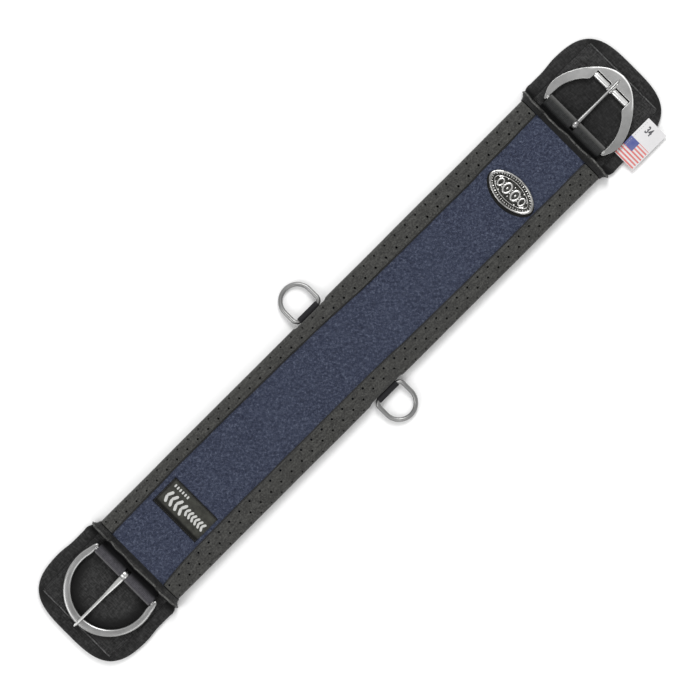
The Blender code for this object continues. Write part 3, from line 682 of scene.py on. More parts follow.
def make_liner():
    outer, inner, index, quads = [], [], {}, []

    def vertex(x, v, folded):
        both = folded or abs(v) <= A1 + 0.01
        key = (round(x, 3), round(v, 3), abs(v) > A1 + 0.01 and folded)
        if key not in index:
            use = folded if abs(x) <= 331.01 else False
            p, n, t = liner_point(x, v, use and (abs(x) < 330.9 or abs(v) > A1 or folded))
            index[key] = len(outer)
            outer.append(p)
            inner.append(tuple(a - b * t for a, b in zip(p, n)))
        return index[key]

    cols = range(-14, 82 + 14)
    for i in cols:
        x0 = -331 + i * CELL
        body = 0 <= i < 82
        for j in range(20):
            v0 = V0 + j * ROW
            vc = v0 + ROW / 2
            xc = x0 + CELL / 2
            hole = (i + j) % 2 == 0
            keep = {}
            for a in range(4):
                for b in range(4):
                    xs, vs = x0 + (a + 0.5) * CELL / 4, v0 + (b + 0.5) * ROW / 4
                    if body:
                        slit = abs(xs - DEE_X) < 15.6 and 61.2 < abs(vs) < 70.0
                        keep[a, b] = not slit
                    else:
                        keep[a, b] = inset_of(xs, vs) > 3.4 and abs(vs) < 80
            if not all(keep[a, b] for a in (1, 2) for b in (1, 2)):
                hole = False
            if body and abs(xc - DEE_X) < 21 and 56 < abs(vc) < 75:
                hole = False
            if not body and (inset_of(xc, vc) < 10 or seam_distance(xc, vc) < 3.2):
                hole = False
            for a in range(4):
                for b in range(4):
                    if not keep[a, b] or (hole and a in (1, 2) and b in (1, 2)):
                        continue
                    xs = [x0 + (a + k) * CELL / 4 for k in (0, 1)]
                    vs = [v0 + (b + k) * ROW / 4 for k in (0, 1)]
                    quads.append(tuple(vertex(xs[p], vs[q], body) for p, q in ((0, 0), (0, 1), (1, 1), (1, 0))))
            if hole:
                ring = [(1, 1), (1, 2), (1, 3), (2, 3), (3, 3), (3, 2), (3, 1), (2, 1)]
                rim = [vertex(x0 + a * CELL / 4, v0 + b * ROW / 4, body) for a, b in ring]
                cut = []
                for q in range(16):
                    # start towards the corner (1, 1), then the way the rim runs
                    ang = math.radians(225) - q * math.pi / 8
                    cut.append(vertex(xc + 1.28 * math.cos(ang), vc + 1.28 * math.sin(ang), body))
                for q in range(8):
                    r0, r1 = rim[q], rim[(q + 1) % 8]
                    c0, c1, c2 = cut[2 * q], cut[2 * q + 1], cut[(2 * q + 2) % 16]
                    quads.append((r0, r1, c1, c0))
                    quads.append((r1, c2, c1))
    return shell(np.array(outer), np.array(inner), quads)


verts, faces = make_liner()
liner = piece("perforated_liner", verts, faces, NEOPRENE, "girth", ["liner"], "neoprene", crease=50)

# ------------------------------------------------------------------ navy face
def face_top(x, y):
    crown = 0.75 * max(0.0, 1 - (y / 50) ** 2)
    flat = 1 - float(ease((abs(x) - 322) / 14))
    return 13.6 + crown * flat + 0.16 * rough_at(x, y, size=24, seed=11) + 0.10 * rough_at(x, y, size=9, seed=12)


def grid_face():
    xs = np.linspace(-335.2, 335.2, 170)
    ys = np.linspace(0, 1, 36)
    outer = []
    for a in xs:
        lo, hi = rear_edge(a) - 5.0, front_edge(a) + 5.0
        outer += [(a, lo + (hi - lo) * t, face_top(a, lo + (hi - lo) * t)) for t in ys]
    outer = np.array(outer)
    inner = outer.copy()
    inner[:, 2] = 11.85
    n = len(ys)
    quads = [(i * n + j, (i + 1) * n + j, (i + 1) * n + j + 1, i * n + j + 1) for i in range(len(xs) - 1) for j in range(n - 1)]
    return shell(outer, inner, quads)


face = piece("navy_loop_face", *grid_face(), NAVY, "girth", ["navy_face"], "navy_loop_cloth", crease=50)


# A dark strip in the hook tape's look beside each lip's edge is painted shade under the lip
for word, edge_of, s in (("front", front_edge, 1), ("rear", rear_edge, -1)):
    rings = []
    for x in np.linspace(-331.4, 331.4, 240):
        e = edge_of(x)
        w = 1.75 + 0.35 * rough_at(x, s * 17, size=16, seed=15)
        rings.append(np.array([(x, e + s * 1.5, 13.5), (x, e + s * 1.5, 14.95), (x, e - s * (w - 0.5), 14.95), (x, e - s * (w - 0.1), 14.7), (x, e - s * w, 14.2), (x, e - s * w, 13.5)]))
    piece("lip_shade_strip_" + word, *loft(rings), HOOK_TAPE_AND_SHADE, "girth", (), "hook_tape", crease=50)


# ------------------------------------------------------------------ stitches
def stitches(points, length=2.6, gap=1.1, radius=0.33, height=None, sink=0.0):
    """Thread along a line of 3D points: short stitches that dive at each end."""
    pts = np.array(points, float)
    steps = np.linalg.norm(np.diff(pts, axis=0), axis=1)
    total = steps.sum()
    at = np.concatenate([[0], np.cumsum(steps)])
    parts, s = [], gap / 2
    while s + length < total:
        rings = []
        for k in range(7):
            t = k / 6
            u = s + t * length
            c = np.array([np.interp(u, at, pts[:, d]) for d in range(3)])
            u2 = min(total, u + 0.05)
            d = np.array([np.interp(u2, at, pts[:, e]) for e in range(3)]) - np.array([np.interp(max(0, u - 0.05), at, pts[:, e]) for e in range(3)])
            d /= max(1e-9, np.linalg.norm(d))
            up = np.array([0, 0, 1.0])
            side = np.cross(d, up)
            side /= max(1e-9, np.linalg.norm(side))
            nrm = np.cross(side, d)
            c = c + nrm * (radius * 0.55 * math.sin(math.pi * t) - 0.25 * (abs(2 * t - 1) ** 3) - sink)
            r = radius * (0.45 + 0.55 * math.sin(math.pi * min(1, max(0, 0.12 + 0.76 * t))))
            rings.append(np.array([c + r * (math.cos(w) * side + 0.8 * math.sin(w) * nrm) for w in np.linspace(0, 2 * math.pi, 7)[:-1]]))
        parts.append(loft(rings))
        s += length + gap
    return joined(parts)


# ------------------------------------------------------------------ guard pads
def rect_edge(x, y, inset=0.0):
    """The panel's edge on the ray from the pad's centre to the outline point (x, y)."""
    if x <= PAD_CENTRE:
        return x, math.copysign(54.0 - inset, y)
    dx, dy = x - PAD_CENTRE, y
    lo, hi = 0.0, 1.2
    for _ in range(26):
        mid = 0.5 * (lo + hi)
        ox, oy = PAD_CENTRE + dx * mid - 428.0, abs(dy * mid) - 50.0
        far = (math.hypot(ox, oy) if ox > 0 and oy > 0 else max(ox, oy)) - (4.0 - inset)
        lo, hi = (mid, hi) if far < 0 else (lo, mid)
    return PAD_CENTRE + dx * lo, dy * lo


def outline(inset, start, steps=40):
    a, b = PAD_END - PAD_CENTRE - inset, PAD_W - inset
    top = []
    for i in range(16):
        t = start + (PAD_CENTRE - start) * i / 16
        top.append((t, half_width(t) - inset))
    for i in range(steps + 1):
        ang = math.pi / 2 * (1 - i / steps)
        top.append((PAD_CENTRE + a * abs(math.cos(ang)) ** (2 / PAD_POWER), b * abs(math.sin(ang)) ** (2 / PAD_POWER)))
    return top + [(p, -q) for p, q in reversed(top[:-1])]


def resample(points, count):
    p = np.array(points, float)
    at = np.concatenate([[0], np.cumsum(np.linalg.norm(np.diff(p, axis=0), axis=1))])
    u = np.linspace(0, at[-1], count)
    return np.column_stack([np.interp(u, at, p[:, d]) for d in range(p.shape[1])])


def make_binding(side):
    start = 331.6
    edge = resample(outline(0.0, start), 170)
    rings = []
    for i, (px, py) in enumerate(edge):
        # the pad draws in a little before the neck
        py -= math.copysign(1.9 * float(ease((392 - px) / 24)) * float(ease((px - 344) / 10)), py)
        ix, iy = rect_edge(px, py if abs(py) > 1e-6 else 1e-6)
        # inward direction: from the outline towards the panel's edge
        w = Vector((ix - px, iy - py))
        span = max(3.0, w.length)
        w = w.normalized()
        neck_fold = float(ease((372 - px) / 24)) * float(ease((px - 337) / 6))
        gather = 0.35 * rough_at(px, py, size=7, seed=21 + side) + 0.25 * rough_at(px, py, size=22, seed=23)
        gather += neck_fold * (1.1 * rough_at(px, py, size=5.5, seed=25 + side) + 0.5 * rough_at(px, py, size=11, seed=27))
        prof = [(1.0, 4.45, 0), (0.985, 5.35, 0), (0.93, 5.75, 0), (0.82, 5.95 + 0.5 * gather, 0), (0.6, 6.25 + gather, 0), (0.38, 6.25 + gather, 0),
                (0.2, 5.9 + 0.6 * gather, 0), (0.08, 5.15, 0), (0.015, 4.1, 0)]
        ring = []
        for share, zz, _ in prof:
            ring.append((px + w.x * span * share, py + w.y * span * share, zz))
        for inset, zz in ((0.0, 2.9), (0.25, 1.7), (1.0, 0.75), (2.3, 0.2), (4.2, 0.08), (6.4, 0.1 + 0.1 * abs(gather)), (7.9, 0.35), (8.5, 0.95), (7.4, 1.05), (3.0, 1.15), (2.2, 2.4), (2.8, 3.9)):
            ring.append((px + w.x * inset, py + w.y * inset, zz))
        ring.append((px + w.x * span * 0.9, py + w.y * span * 0.9, 4.3))
        rings.append(np.array([(q[0] * side, q[1], q[2]) for q in ring]))
    # the ends close down into the neck
    return loft(rings)


def dome_panel(name, side, look):
    """The cloth behind a buckle. It swells inside the bow: pinned along the seam and under the bow, with air pressure."""
    nx, ny = 46, 56
    xs = np.linspace(343.0, 431.6, nx)
    ys = np.linspace(-53.6, 53.6, ny)
    pts = []
    for a in xs:
        for b in ys:
            cx, cy = a, b
            # small corner radius
            dx, dy = max(0.0, a - 428.0), max(0.0, abs(b) - 50.0)
            if dx > 0 and dy > 0:
                r = math.hypot(dx, dy)
                lim = 3.6
                if r > lim:
                    cx, cy = 428.0 + dx * lim / r, math.copysign(50.0 + dy * lim / r, b)
            pts.append((cx, cy, 0.0))
    pts = np.array(pts)

    def inside(a, b):
        """How far a point is inside the bow's inner edge and outboard of the web loop."""
        if side < 0:
            bow = 44.7 - math.hypot(a - (BAR_X + 22.0), b)
        else:
            lx = a - BAR_X
            wide = np.interp(lx, [-4, 9, 17, 24, 32, 40.5, 46.6], [43.2, 43.2, 42.6, 40.8, 37.4, 32.0, 26.4])
            bow = min(wide - abs(b), (51.0 - lx) if abs(b) < 26 else (46.6 - lx))
        return min(bow - 1.5, a - (BAR_X + 5.6))

    lift = np.array([2.3 * float(ease(inside(a, b) / 13.0)) for a, b, _ in pts])
    lift = cloth_dome(pts, [inside(a, b) > 0.5 for a, b, _ in pts], nx, ny, name, 2.5, lift)
    top = []
    for (a, b, _), h in zip(pts, lift):
        de = min(431.6 - a, 53.6 - abs(b))  # from the panel's edge
        ridge = 0.55 * math.exp(-(((de - 0.9) / 0.8) ** 2)) - 0.7 * math.exp(-((de / 0.5) ** 2))
        ds = min(abs(a - 428.4) if abs(b) < 50.6 else 9, abs(abs(b) - 50.4) if a < 428.6 else 9)
        groove = -0.55 * math.exp(-((ds / 0.9) ** 2))
        quiet = float(ease((de - 1) / 4))
        z = 5.75 + h + ridge + groove + quiet * 0.2 * rough_at(a * side, b, size=13, seed=31) + quiet * 0.15 * rough_at(a * side, b, size=6, seed=33)
        top.append((a * side, b, z))
    top = np.array(top)
    low = top.copy()
    low[:, 2] = 4.3
    quads = []
    for i in range(nx - 1):
        for j in range(ny - 1):
            q = (i * ny + j, (i + 1) * ny + j, (i + 1) * ny + j + 1, i * ny + j + 1)
            quads.append(q if side > 0 else tuple(reversed(q)))
    return shell(top, low, quads)


def cloth_dome(pts, free, nx, ny, name, cap, wanted):
    """Cloth with pressure over the free part, everything else pinned. Returns the height at each point."""
    me = bpy.data.meshes.new(name + "_sim")
    quads = [(i * ny + j, (i + 1) * ny + j, (i + 1) * ny + j + 1, i * ny + j + 1) for i in range(nx - 1) for j in range(ny - 1)]
    me.from_pydata([(a * 0.01, b * 0.01, 0) for a, b, _ in pts], [], quads)
    ob = bpy.data.objects.new(name + "_sim", me)
    scene.collection.objects.link(ob)
    pin = ob.vertex_groups.new(name="pin")
    pin.add([i for i, f in enumerate(free) if not f], 1.0, "REPLACE")
    mod = ob.modifiers.new("cloth", "CLOTH")
    s = mod.settings
    s.quality = 5
    s.mass = 0.3
    s.tension_stiffness = s.compression_stiffness = 8
    s.shear_stiffness = 5
    s.bending_stiffness = 0.5
    s.use_pressure = True
    s.uniform_pressure_force = 6.0
    s.vertex_group_mass = "pin"
    s.effector_weights.gravity = 0
    mod.collision_settings.use_collision = False
    mod.point_cache.frame_start, mod.point_cache.frame_end = 1, 16
    for f in range(1, 17):
        scene.frame_set(f)
    graph = bpy.context.evaluated_depsgraph_get()
    got = ob.evaluated_get(graph).to_mesh()
    z = np.array([v.co.z for v in got.vertices]) * 100
    bpy.data.objects.remove(ob)
    scene.frame_set(1)
    z = np.abs(z)
    if not np.isfinite(z).all() or z.max() < 1e-3:
        return wanted
    # keep the cloth's own shape at the height the bow leaves
    shape = z / z.max()
    return cap * shape


for side, word, look in ((-1, "plain_end", PANEL_A), (1, "roller_end", PANEL_B)):
    rim_pad = piece("guard_rim_" + word, *make_binding(side), BINDING, "girth", ["guard_binding_" + word], "binding_cloth", crease=60)
    panel = piece("guard_pad_" + word, *dome_panel("guard_pad_" + word, side, look), look, "girth", ["guard_panel_" + word], "black_cloth", crease=60)
    welt, radii = [], []
    for b in np.linspace(-52.4, 52.4, 90):
        end = float(ease((52.6 - abs(b)) / 3))
        welt.append(((431.5 + 0.3 * rough_at(431.5 * side, b, size=9, seed=35)) * side, b, 5.75 + 0.4 * end + 0.12 * rough_at(431.5 * side, b, size=6, seed=36)))
        radii.append(0.35 + 0.4 * end)
    piece("guard_welt_" + word, *cord(welt, radii), WELT, "girth", (), "black_cloth", crease=60)
    line = [(347.0, 50.4), (428.4, 50.4), (428.4, -50.4), (347.0, -50.4)]
    flat = resample([(a * side, b, 5.55) for a, b in line], 400)
    back = resample([(a * side, b, 0.75) for a, b in [(358, 52), (426, 52), (426, -52), (358, -52)]], 400)
    v1, f1 = stitches(flat, 2.7, 1.0, 0.34)
    v2, f2 = stitches(back, 2.7, 1.0, 0.36)
    v2 = v2 * np.array([1, 1, -1]) + np.array([0, 0, 1.35])
    piece("guard_stitches_" + word, *joined([(v1, f1), (v2, f2)]), THREAD, "girth", ["guard_seam_" + word], "thread", crease=60)


# ------------------------------------------------------------------ neck hems
def make_hem(side):
    fy, ry = (front_edge(331 * side), rear_edge(331 * side))

    def arch(x):
        """The line across the girth that the hem lies on, at x outboard."""
        w = half_width(x) + 0.9
        pts = [(w + 0.1, 0.9), (w + 0.5, 6.0), (w - 0.4, 12.2), (w - 3.8, 16.4), (w - 9.0, 18.0), (fy + 3.5, 18.2), (fy - 1.5, 17.2), (fy - 6.5, 15.1), (fy - 15, 14.7), (0, 14.9),
               (ry + 15, 14.7), (ry + 6.5, 15.1), (ry + 1.5, 17.2), (ry - 3.5, 18.2), (-w + 9.0, 18.0), (-w + 3.8, 16.4), (-w + 0.4, 12.2), (-w - 0.5, 6.0), (-w - 0.1, 0.9)]
        return resample(through(pts, 6), 190)

    prof = [(331.7, -0.9), (332.0, -0.3), (332.8, -0.15), (334.2, -0.5), (335.8, -0.65), (337.0, -0.2), (338.0, 0.65), (339.0, 1.15), (340.0, 1.1), (340.8, 0.5), (341.3, -0.6),
            (341.3, -1.9), (340.2, -2.6), (336.5, -2.4), (333.5, -1.9)]
    arches = {x: arch(x) for x, _ in prof}
    arches[339.4] = arch(339.4)
    rings, crest = [], []
    n = 190

    def normal_at(line, i):
        d = line[min(n - 1, i + 1)] - line[max(0, i - 1)]
        d = d / max(1e-9, np.linalg.norm(d))
        nrm = np.array([-d[1], d[0]])
        return -nrm if nrm @ (line[i] - np.array([0, 5.0])) < 0 else nrm

    for i in range(n):
        ring = []
        c = arches[341.3][i]
        wave = 0.9 * rough_at(c[0], c[1], size=13, seed=41 + 3 * side) + 0.5 * rough_at(c[0], c[1], size=6, seed=43)
        sway = 2.3 * rough_at(c[0], c[1], size=15, seed=47 + side) + 0.9 * rough_at(c[0], c[1], size=6.5, seed=52) + 0.3 * wave
        for x, h in prof:
            p = arches[x][i]
            out = float(ease((x - 335.5) / 3.5))
            hh = h + out * 0.5 * wave + (1 - out) * 0.3 * rough_at(c[0], c[1] + x, size=6, seed=45)
            q = p + normal_at(arches[x], i) * hh
            ring.append(((x + out * sway) * side, q[0], q[1]))
        rings.append(np.array(ring))
        p = arches[339.4][i] + normal_at(arches[339.4], i) * (1.1 + 0.5 * wave)
        crest.append(((339.5 + sway) * side, p[0], p[1]))
    # round the folds off along the roll
    rings, crest = np.array(rings), np.array(crest)
    for _ in range(5):
        rings[1:-1] = 0.25 * rings[:-2] + 0.5 * rings[1:-1] + 0.25 * rings[2:]
        crest[1:-1] = 0.25 * crest[:-2] + 0.5 * crest[1:-1] + 0.25 * crest[2:]
    # the cloth's cut edge stands along the roll as a cord; its paler colour is a painted highlight along the crest
    crest = crest[3:-3]
    radii = [0.92 + 0.35 * rough_at(q[0], q[1], q[2], size=6, seed=49) for q in crest]
    return loft(list(rings)), cord(crest, radii, flat=0.9, up=(side, 0, 0.35))


for side, word in ((-1, "plain_end"), (1, "roller_end")):
    # a dark sheet across the sleeve's mouth round the strap: painted shade for the hollow there
    mouth = [(58.6, 4.7), (58.6, 12.2), (56.5, 14.2), (46, 14.3), (42, 13.2), (-40, 13.2), (-44, 14.3), (-56.5, 14.2), (-58.6, 12.2), (-58.6, 4.7), (-43.8, 4.7), (-43.8, 11.4), (43.8, 11.4), (43.8, 4.7)]
    work = bmesh.new()
    near = [work.verts.new((335.4 * side, a, b)) for a, b in mouth]
    far = [work.verts.new((336.9 * side, a, b)) for a, b in mouth]
    work.faces.new(near)
    work.faces.new(list(reversed(far)))
    for i in range(len(mouth)):
        work.faces.new((near[i], far[i], far[(i + 1) % len(mouth)], near[(i + 1) % len(mouth)]))
    bmesh.ops.triangulate(work, faces=work.faces)
    work.verts.index_update()
    piece("sleeve_mouth_shade_" + word, [tuple(q.co) for q in work.verts], [tuple(q.index for q in g.verts) for g in work.faces], SHADE_CLOTH, "girth", (), "black_cloth", crease=40)
    work.free()
    roll, edge = make_hem(side)
    hem = piece("sleeve_hem_" + word, *roll, HEM, "girth", ["neck_hem_" + word], "black_cloth", crease=70)
    hem.modifiers.new("soft", "SUBSURF").levels = 1
    hem.modifiers["soft"].render_levels = 1
    piece("sleeve_crest_highlight_" + word, *edge, EDGE, "girth", (), "black_cloth", crease=70)


# ------------------------------------------------------------------ straps
def strap(path, thick, cols, slot=None, plane="X"):
    """A flat strap along a closed path of (u, z), with the outer face on the path. cols are (across, edge factor)."""
    p = np.array(path, float)
    n = len(p)
    d = np.roll(p, -1, 0) - np.roll(p, 1, 0)
    d /= np.linalg.norm(d, axis=1)[:, None]
    nrm = np.column_stack([d[:, 1], -d[:, 0]])  # to the left or right, fixed below
    area = 0.5 * float(np.sum(p[:, 0] * np.roll(p[:, 1], -1) - np.roll(p[:, 0], -1) * p[:, 1]))
    if area < 0:
        nrm = -nrm
    outer, inner = [], []
    for (u, z), (nu, nz), t in zip(p, nrm, thick):
        for c, e in cols:
            o = (u - nu * t * 0.5 * e, z - nz * t * 0.5 * e)
            i = (u - nu * t * (1 - 0.5 * e), z - nz * t * (1 - 0.5 * e))
            outer.append((o[0], c, o[1]) if plane == "X" else (c, o[0], o[1]))
            inner.append((i[0], c, i[1]) if plane == "X" else (c, i[0], i[1]))
    m = len(cols)
    quads = []
    for i in range(n):
        i2 = (i + 1) % n
        for j in range(m - 1):
            if slot and slot(0.5 * (p[i] + p[i2]), 0.5 * (cols[j][0] + cols[j + 1][0])):
                continue
            quads.append((i * m + j, i * m + j + 1, i2 * m + j + 1, i2 * m + j))
    return shell(np.array(outer), np.array(inner), quads)


def tangent_angle(px, py, cx, cy, r, side):
    dx, dy = px - cx, py - cy
    return math.atan2(dy, dx) - side * math.acos(r / math.hypot(dx, dy))


def arc(cx, cy, r, a0, a1, steps):
    return [(cx + r * math.cos(a0 + (a1 - a0) * i / steps), cy + r * math.sin(a0 + (a1 - a0) * i / steps)) for i in range(steps + 1)]


LOOP = BAR_R + 0.35 + 1.8
a_top = tangent_angle(343.0, 10.6, BAR_X, BAR_Z, LOOP, 1)
a_low = tangent_angle(343.0, 8.2, BAR_X, BAR_Z, LOOP, -1)
a_low = a_low - 2 * math.pi if a_low > a_top else a_low
half = [(v, 11.45) for v in np.linspace(0, 318, 12)] + [(324, 11.15), (330, 10.75), (336, 10.62), (341, 10.6), (343.2, 10.65), (345.2, 11.2)]
turn = arc(BAR_X, BAR_Z, LOOP, a_top, a_low, 44)
rise = [tuple(np.array((343.2, 10.65)) + (np.array(turn[0]) - (343.2, 10.65)) * (v - 343.2) / (turn[0][0] - 343.2)) for v in (344.9, 346.6, 348.3, 350.2)]
fall = [tuple(np.array(turn[-1]) + (np.array((343.2, 8.15)) - turn[-1]) * (turn[-1][0] - v) / (turn[-1][0] - 343.2)) for v in (350.2, 348.3, 346.6, 344.9)]
half = [p for p in half if p[0] < 343.5] + rise + turn + fall
half += [(343.2, 8.15), (341, 8.2), (336, 8.25), (330, 8.4), (324, 8.8)] + [(v, 9.15) for v in np.linspace(318, 0, 12)]
full = half + [(-u, z) for u, z in reversed(half[1:-1])]
thick = [1.75 if abs(u) > 338 else 1.12 for u, z in full]
edges = [(0.0, 0.0)]
cols = [(-42.6, 0.75), (-42.3, 0.25), (-41.6, 0.0)] + [(v, 0.0) for v in np.linspace(-38, -8, 9)] + [(-5.2, 0.0), (-4.2, 0.0), (-3.7, 0.14), (-3.1, 0.0), (-2.65, 0.14)]
cols = cols + [(-c, e) for c, e in reversed(cols)]
# the tongues swing back through the slots, the plain tongue is the wider one
web = strap(full, thick, cols, slot=lambda p, c: abs(p[0]) > 346.6 and abs(c) < (3.6 if p[0] < 0 else 2.6))
webbing = piece("girth_webbing", *web, WEBBING, "girth", ["load_web"], "webbing", crease=50)

KEEP = 2.6 + 0.25 + 0.95
k_up = tangent_angle(55.6, 5.6, DEE_Y, DEE_Z, KEEP, 1)
k_dn = tangent_angle(55.6, 4.3, DEE_Y, DEE_Z, KEEP, -1)
k_dn = k_dn - 2 * math.pi if k_dn > k_up else k_dn
half = [(v, 5.58) for v in np.linspace(0, 54, 6)] + arc(DEE_Y, DEE_Z, KEEP, k_up, k_dn, 36) + [(v, 4.32) for v in np.linspace(54, 0, 6)]
full = half + [(-u, z) for u, z in reversed(half[1:-1])]
thick = [0.95 if abs(u) > 57 else 0.6 for u, z in full]
cols = [(DEE_X - 14.4, 0.75), (DEE_X - 14.1, 0.25), (DEE_X - 13.5, 0.0)] + [(DEE_X + v, 0.0) for v in (-9, -4, 0, 4, 9)] + [(DEE_X + 13.5, 0.0), (DEE_X + 14.1, 0.25), (DEE_X + 14.4, 0.75)]
keeper = piece("dee_keeper_webbing", *strap(full, thick, cols, plane="Y"), KEEPER, "girth", ["dee_keeper_strap"], "webbing", crease=50)

# ------------------------------------------------------------------ buckles
def axis_matrix(side, tilt):
    turn = Matrix.Rotation(math.pi if side < 0 else 0.0, 4, "Z") @ Matrix.Rotation(tilt, 4, "Y")
    return Matrix.Translation((BAR_X * side, 0, BAR_Z)) @ turn


PLAIN_M, ROLLER_M = axis_matrix(-1, PLAIN_TILT), axis_matrix(1, ROLLER_TILT)


def moved(part, m):
    v, f = part
    return np.array([tuple(m @ Vector(p)) for p in v]), f


def bow():
    """The plain buckle: an open bow, thinner to its two ends, on a straight bar."""
    turn = math.pi - math.asin(43.2 / 44.7)
    path = []
    for i in range(61):
        ang = turn * i / 60
        wide = 9.7 - 1.9 * abs(math.sin(ang)) ** 1.5
        mid = 44.7 + wide / 2
        path.append((22 + mid * math.cos(ang), mid * math.sin(ang), wide / 2, 2.75))
    arm = through([path[-1], (6.3, 46.6, 3.7, 2.75), (3.4, 46.3, 3.45, 2.7), (0.8, 45.95, 3.05, 2.55), (-1.6, 45.6, 2.55, 2.2), (-3.3, 45.25, 1.8, 1.6), (-4.3, 44.95, 0.8, 0.8)], 4)
    half = path + arm[1:]
    full = [(x, -y, a, b) for x, y, a, b in reversed(half[1:])] + half
    bar = loft([np.array([(r * math.cos(w), yy, r * math.sin(w)) for w in np.linspace(0, 2 * math.pi, 29)[:-1]]) for yy, r in ((-45.0, 3.2), (45.0, 3.2))])
    return joined([sweep(full, 2.8, 28), bar])


piece("plain_buckle_bow", *moved(bow(), PLAIN_M), BOW, "plain_buckle", ["plain_buckle_frame"], "stainless_steel", crease=60)


def flat_part(loops, low, high, width, segments):
    """A plate from 2D loops with rounded edges, as plain verts and faces."""
    data = bpy.data.curves.new("tmp", "CURVE")
    data.dimensions = "2D"
    data.fill_mode = "BOTH"
    data.extrude = (high - low) / 2
    for loop in loops:
        sp = data.splines.new("POLY")
        sp.points.add(len(loop) - 1)
        for pt, (u, v) in zip(sp.points, loop):
            pt.co = (u, v, 0, 1)
        sp.use_cyclic_u = True
    ob = bpy.data.objects.new("tmp", data)
    ob.location.z = (low + high) / 2
    scene.collection.objects.link(ob)
    bpy.context.view_layer.update()
    me = bpy.data.meshes.new_from_object(ob.evaluated_get(bpy.context.evaluated_depsgraph_get()))
    me.transform(ob.matrix_world)
    bpy.data.objects.remove(ob)
    work = bmesh.new()
    work.from_mesh(me)
    bmesh.ops.remove_doubles(work, verts=work.verts, dist=1e-4)
    bmesh.ops.recalc_face_normals(work, faces=work.faces)
    bmesh.ops.dissolve_limit(work, angle_limit=0.004, verts=work.verts, edges=work.edges)
    sharp = [e for e in work.edges if len(e.link_faces) == 2 and e.calc_face_angle(0) > math.radians(60)]
    rim = [e for e in sharp if abs(e.verts[0].co.z - e.verts[1].co.z) < 1e-4]
    bmesh.ops.bevel(work, geom=rim, offset=width, segments=segments, affect="EDGES", profile=0.5, clamp_overlap=True)
    work.to_mesh(me)
    work.free()
    v = [tuple(p.co) for p in me.vertices]
    f = [tuple(p.vertices) for p in me.polygons]
    bpy.data.meshes.remove(me)
    return np.array(v), f


TIP, ARM_IN = -4.2, 43.2
rim = through([(TIP, 45.0), (-2.5, 46.6), (1.0, 48.4), (6.0, 50.6), (11.0, 51.9), (17.0, 52.3), (23.0, 51.6), (34.0, 48.2), (46.7, 41.6), (58.0, 33.0), (68.0, 22.4), (74.2, 11.4), (76.4, 0.0)], 6)
rim += [(u, -v) for u, v in reversed(rim[:-1])]
hole = [(TIP, ARM_IN + 0.4)] + through([(9.0, ARM_IN), (17.0, 42.6), (24.0, 40.8), (32.0, 37.4), (40.5, 32.0), (45.2, 27.4), (46.6, 26.2)], 5)
hole += [(48.0, 25.2), (49.4, 24.9), (60.4, 24.9), (61.0, 24.3), (61.0, 3.4), (51.8, 3.4)]
hole += [(u, -v) for u, v in reversed(hole)]
plate = flat_part([rim + list(reversed(hole))], -2.8, 2.8, 1.15, 4)
bar = loft([np.array([(3.2 * math.cos(w), yy, 3.2 * math.sin(w)) for w in np.linspace(0, 2 * math.pi, 29)[:-1]]) for yy in (-45.0, 45.0)])
groove_floor = None
plate_ob = piece("roller_buckle_plate", *moved(plate, ROLLER_M), PLATE, "roller_buckle", ["roller_buckle_frame"], "stainless_steel", crease=32)
piece("roller_buckle_bar", *moved(bar, ROLLER_M), STEEL, "roller_buckle", (), "stainless_steel", crease=50)
# the tongue's groove in the nose
cutter = bpy.data.meshes.new("groove_cut")
work = bmesh.new()
rings_a = []
for uu, rr in ((50.6, 1.0), (53.0, 1.0), (66.0, 1.0), (69.0, 0.8), (70.8, 0.1)):
    rings_a.append(np.array([(uu, 2.05 * rr * math.cos(w), 3.2 + 2.0 * rr * math.sin(w)) for w in np.linspace(0, 2 * math.pi, 25)[:-1]]))
gv, gf = moved(loft(rings_a), ROLLER_M)
cutter.from_pydata([tuple(c * MM for c in p) for p in gv], [], gf)
work.from_mesh(cutter)
bmesh.ops.recalc_face_normals(work, faces=work.faces)
work.to_mesh(cutter)
work.free()
cut_ob = bpy.data.objects.new("groove_cut", cutter)
scene.collection.objects.link(cut_ob)
mod = plate_ob.modifiers.new("groove", "BOOLEAN")
mod.object = cut_ob
mod.solver = "EXACT"
bpy.context.view_layer.update()
done = bpy.data.meshes.new_from_object(plate_ob.evaluated_get(bpy.context.evaluated_depsgraph_get()))
plate_ob.modifiers.clear()
plate_ob.data = done
bpy.data.objects.remove(cut_ob)
done.shade_smooth()
done.set_sharp_from_angle(angle=math.radians(40))
plate_ob.modifiers.new("even_shading", "WEIGHTED_NORMAL").keep_sharp = True


def turned(profile, count=36):
    """A turned piece about the Y axis: profile of (y, r), closed on itself."""
    rings = [np.array([(r * math.cos(w), yy, r * math.sin(w)) for yy, r in profile]) for w in np.linspace(0, 2 * math.pi, count + 1)[:-1]]
    m = len(profile)
    verts = np.vstack(rings)
    faces = []
    for i in range(count):
        a, b = i * m, ((i + 1) % count) * m
        for j in range(m):
            j2 = (j + 1) % m
            faces.append((a + j, a + j2, b + j2, b + j))
    return verts, faces


for word, lo, hi in (("front", 3.9, 24.4), ("rear", -24.4, -3.9)):
    prof = [(lo, 1.8), (lo, 3.2), (lo + 0.15, 3.5), (lo + 0.55, 3.7), (lo + 1.1, 3.75), (hi - 1.1, 3.75), (hi - 0.55, 3.7), (hi - 0.15, 3.5), (hi, 3.2), (hi, 1.8)]
    v, f = turned(prof, 48)
    v = v + np.array([56.0, 0, 0])
    piece("bright_roller_" + word, *moved((v, f), ROLLER_M), BRIGHT, word + "_roller", ["roller_" + word], "stainless_steel", crease=40)


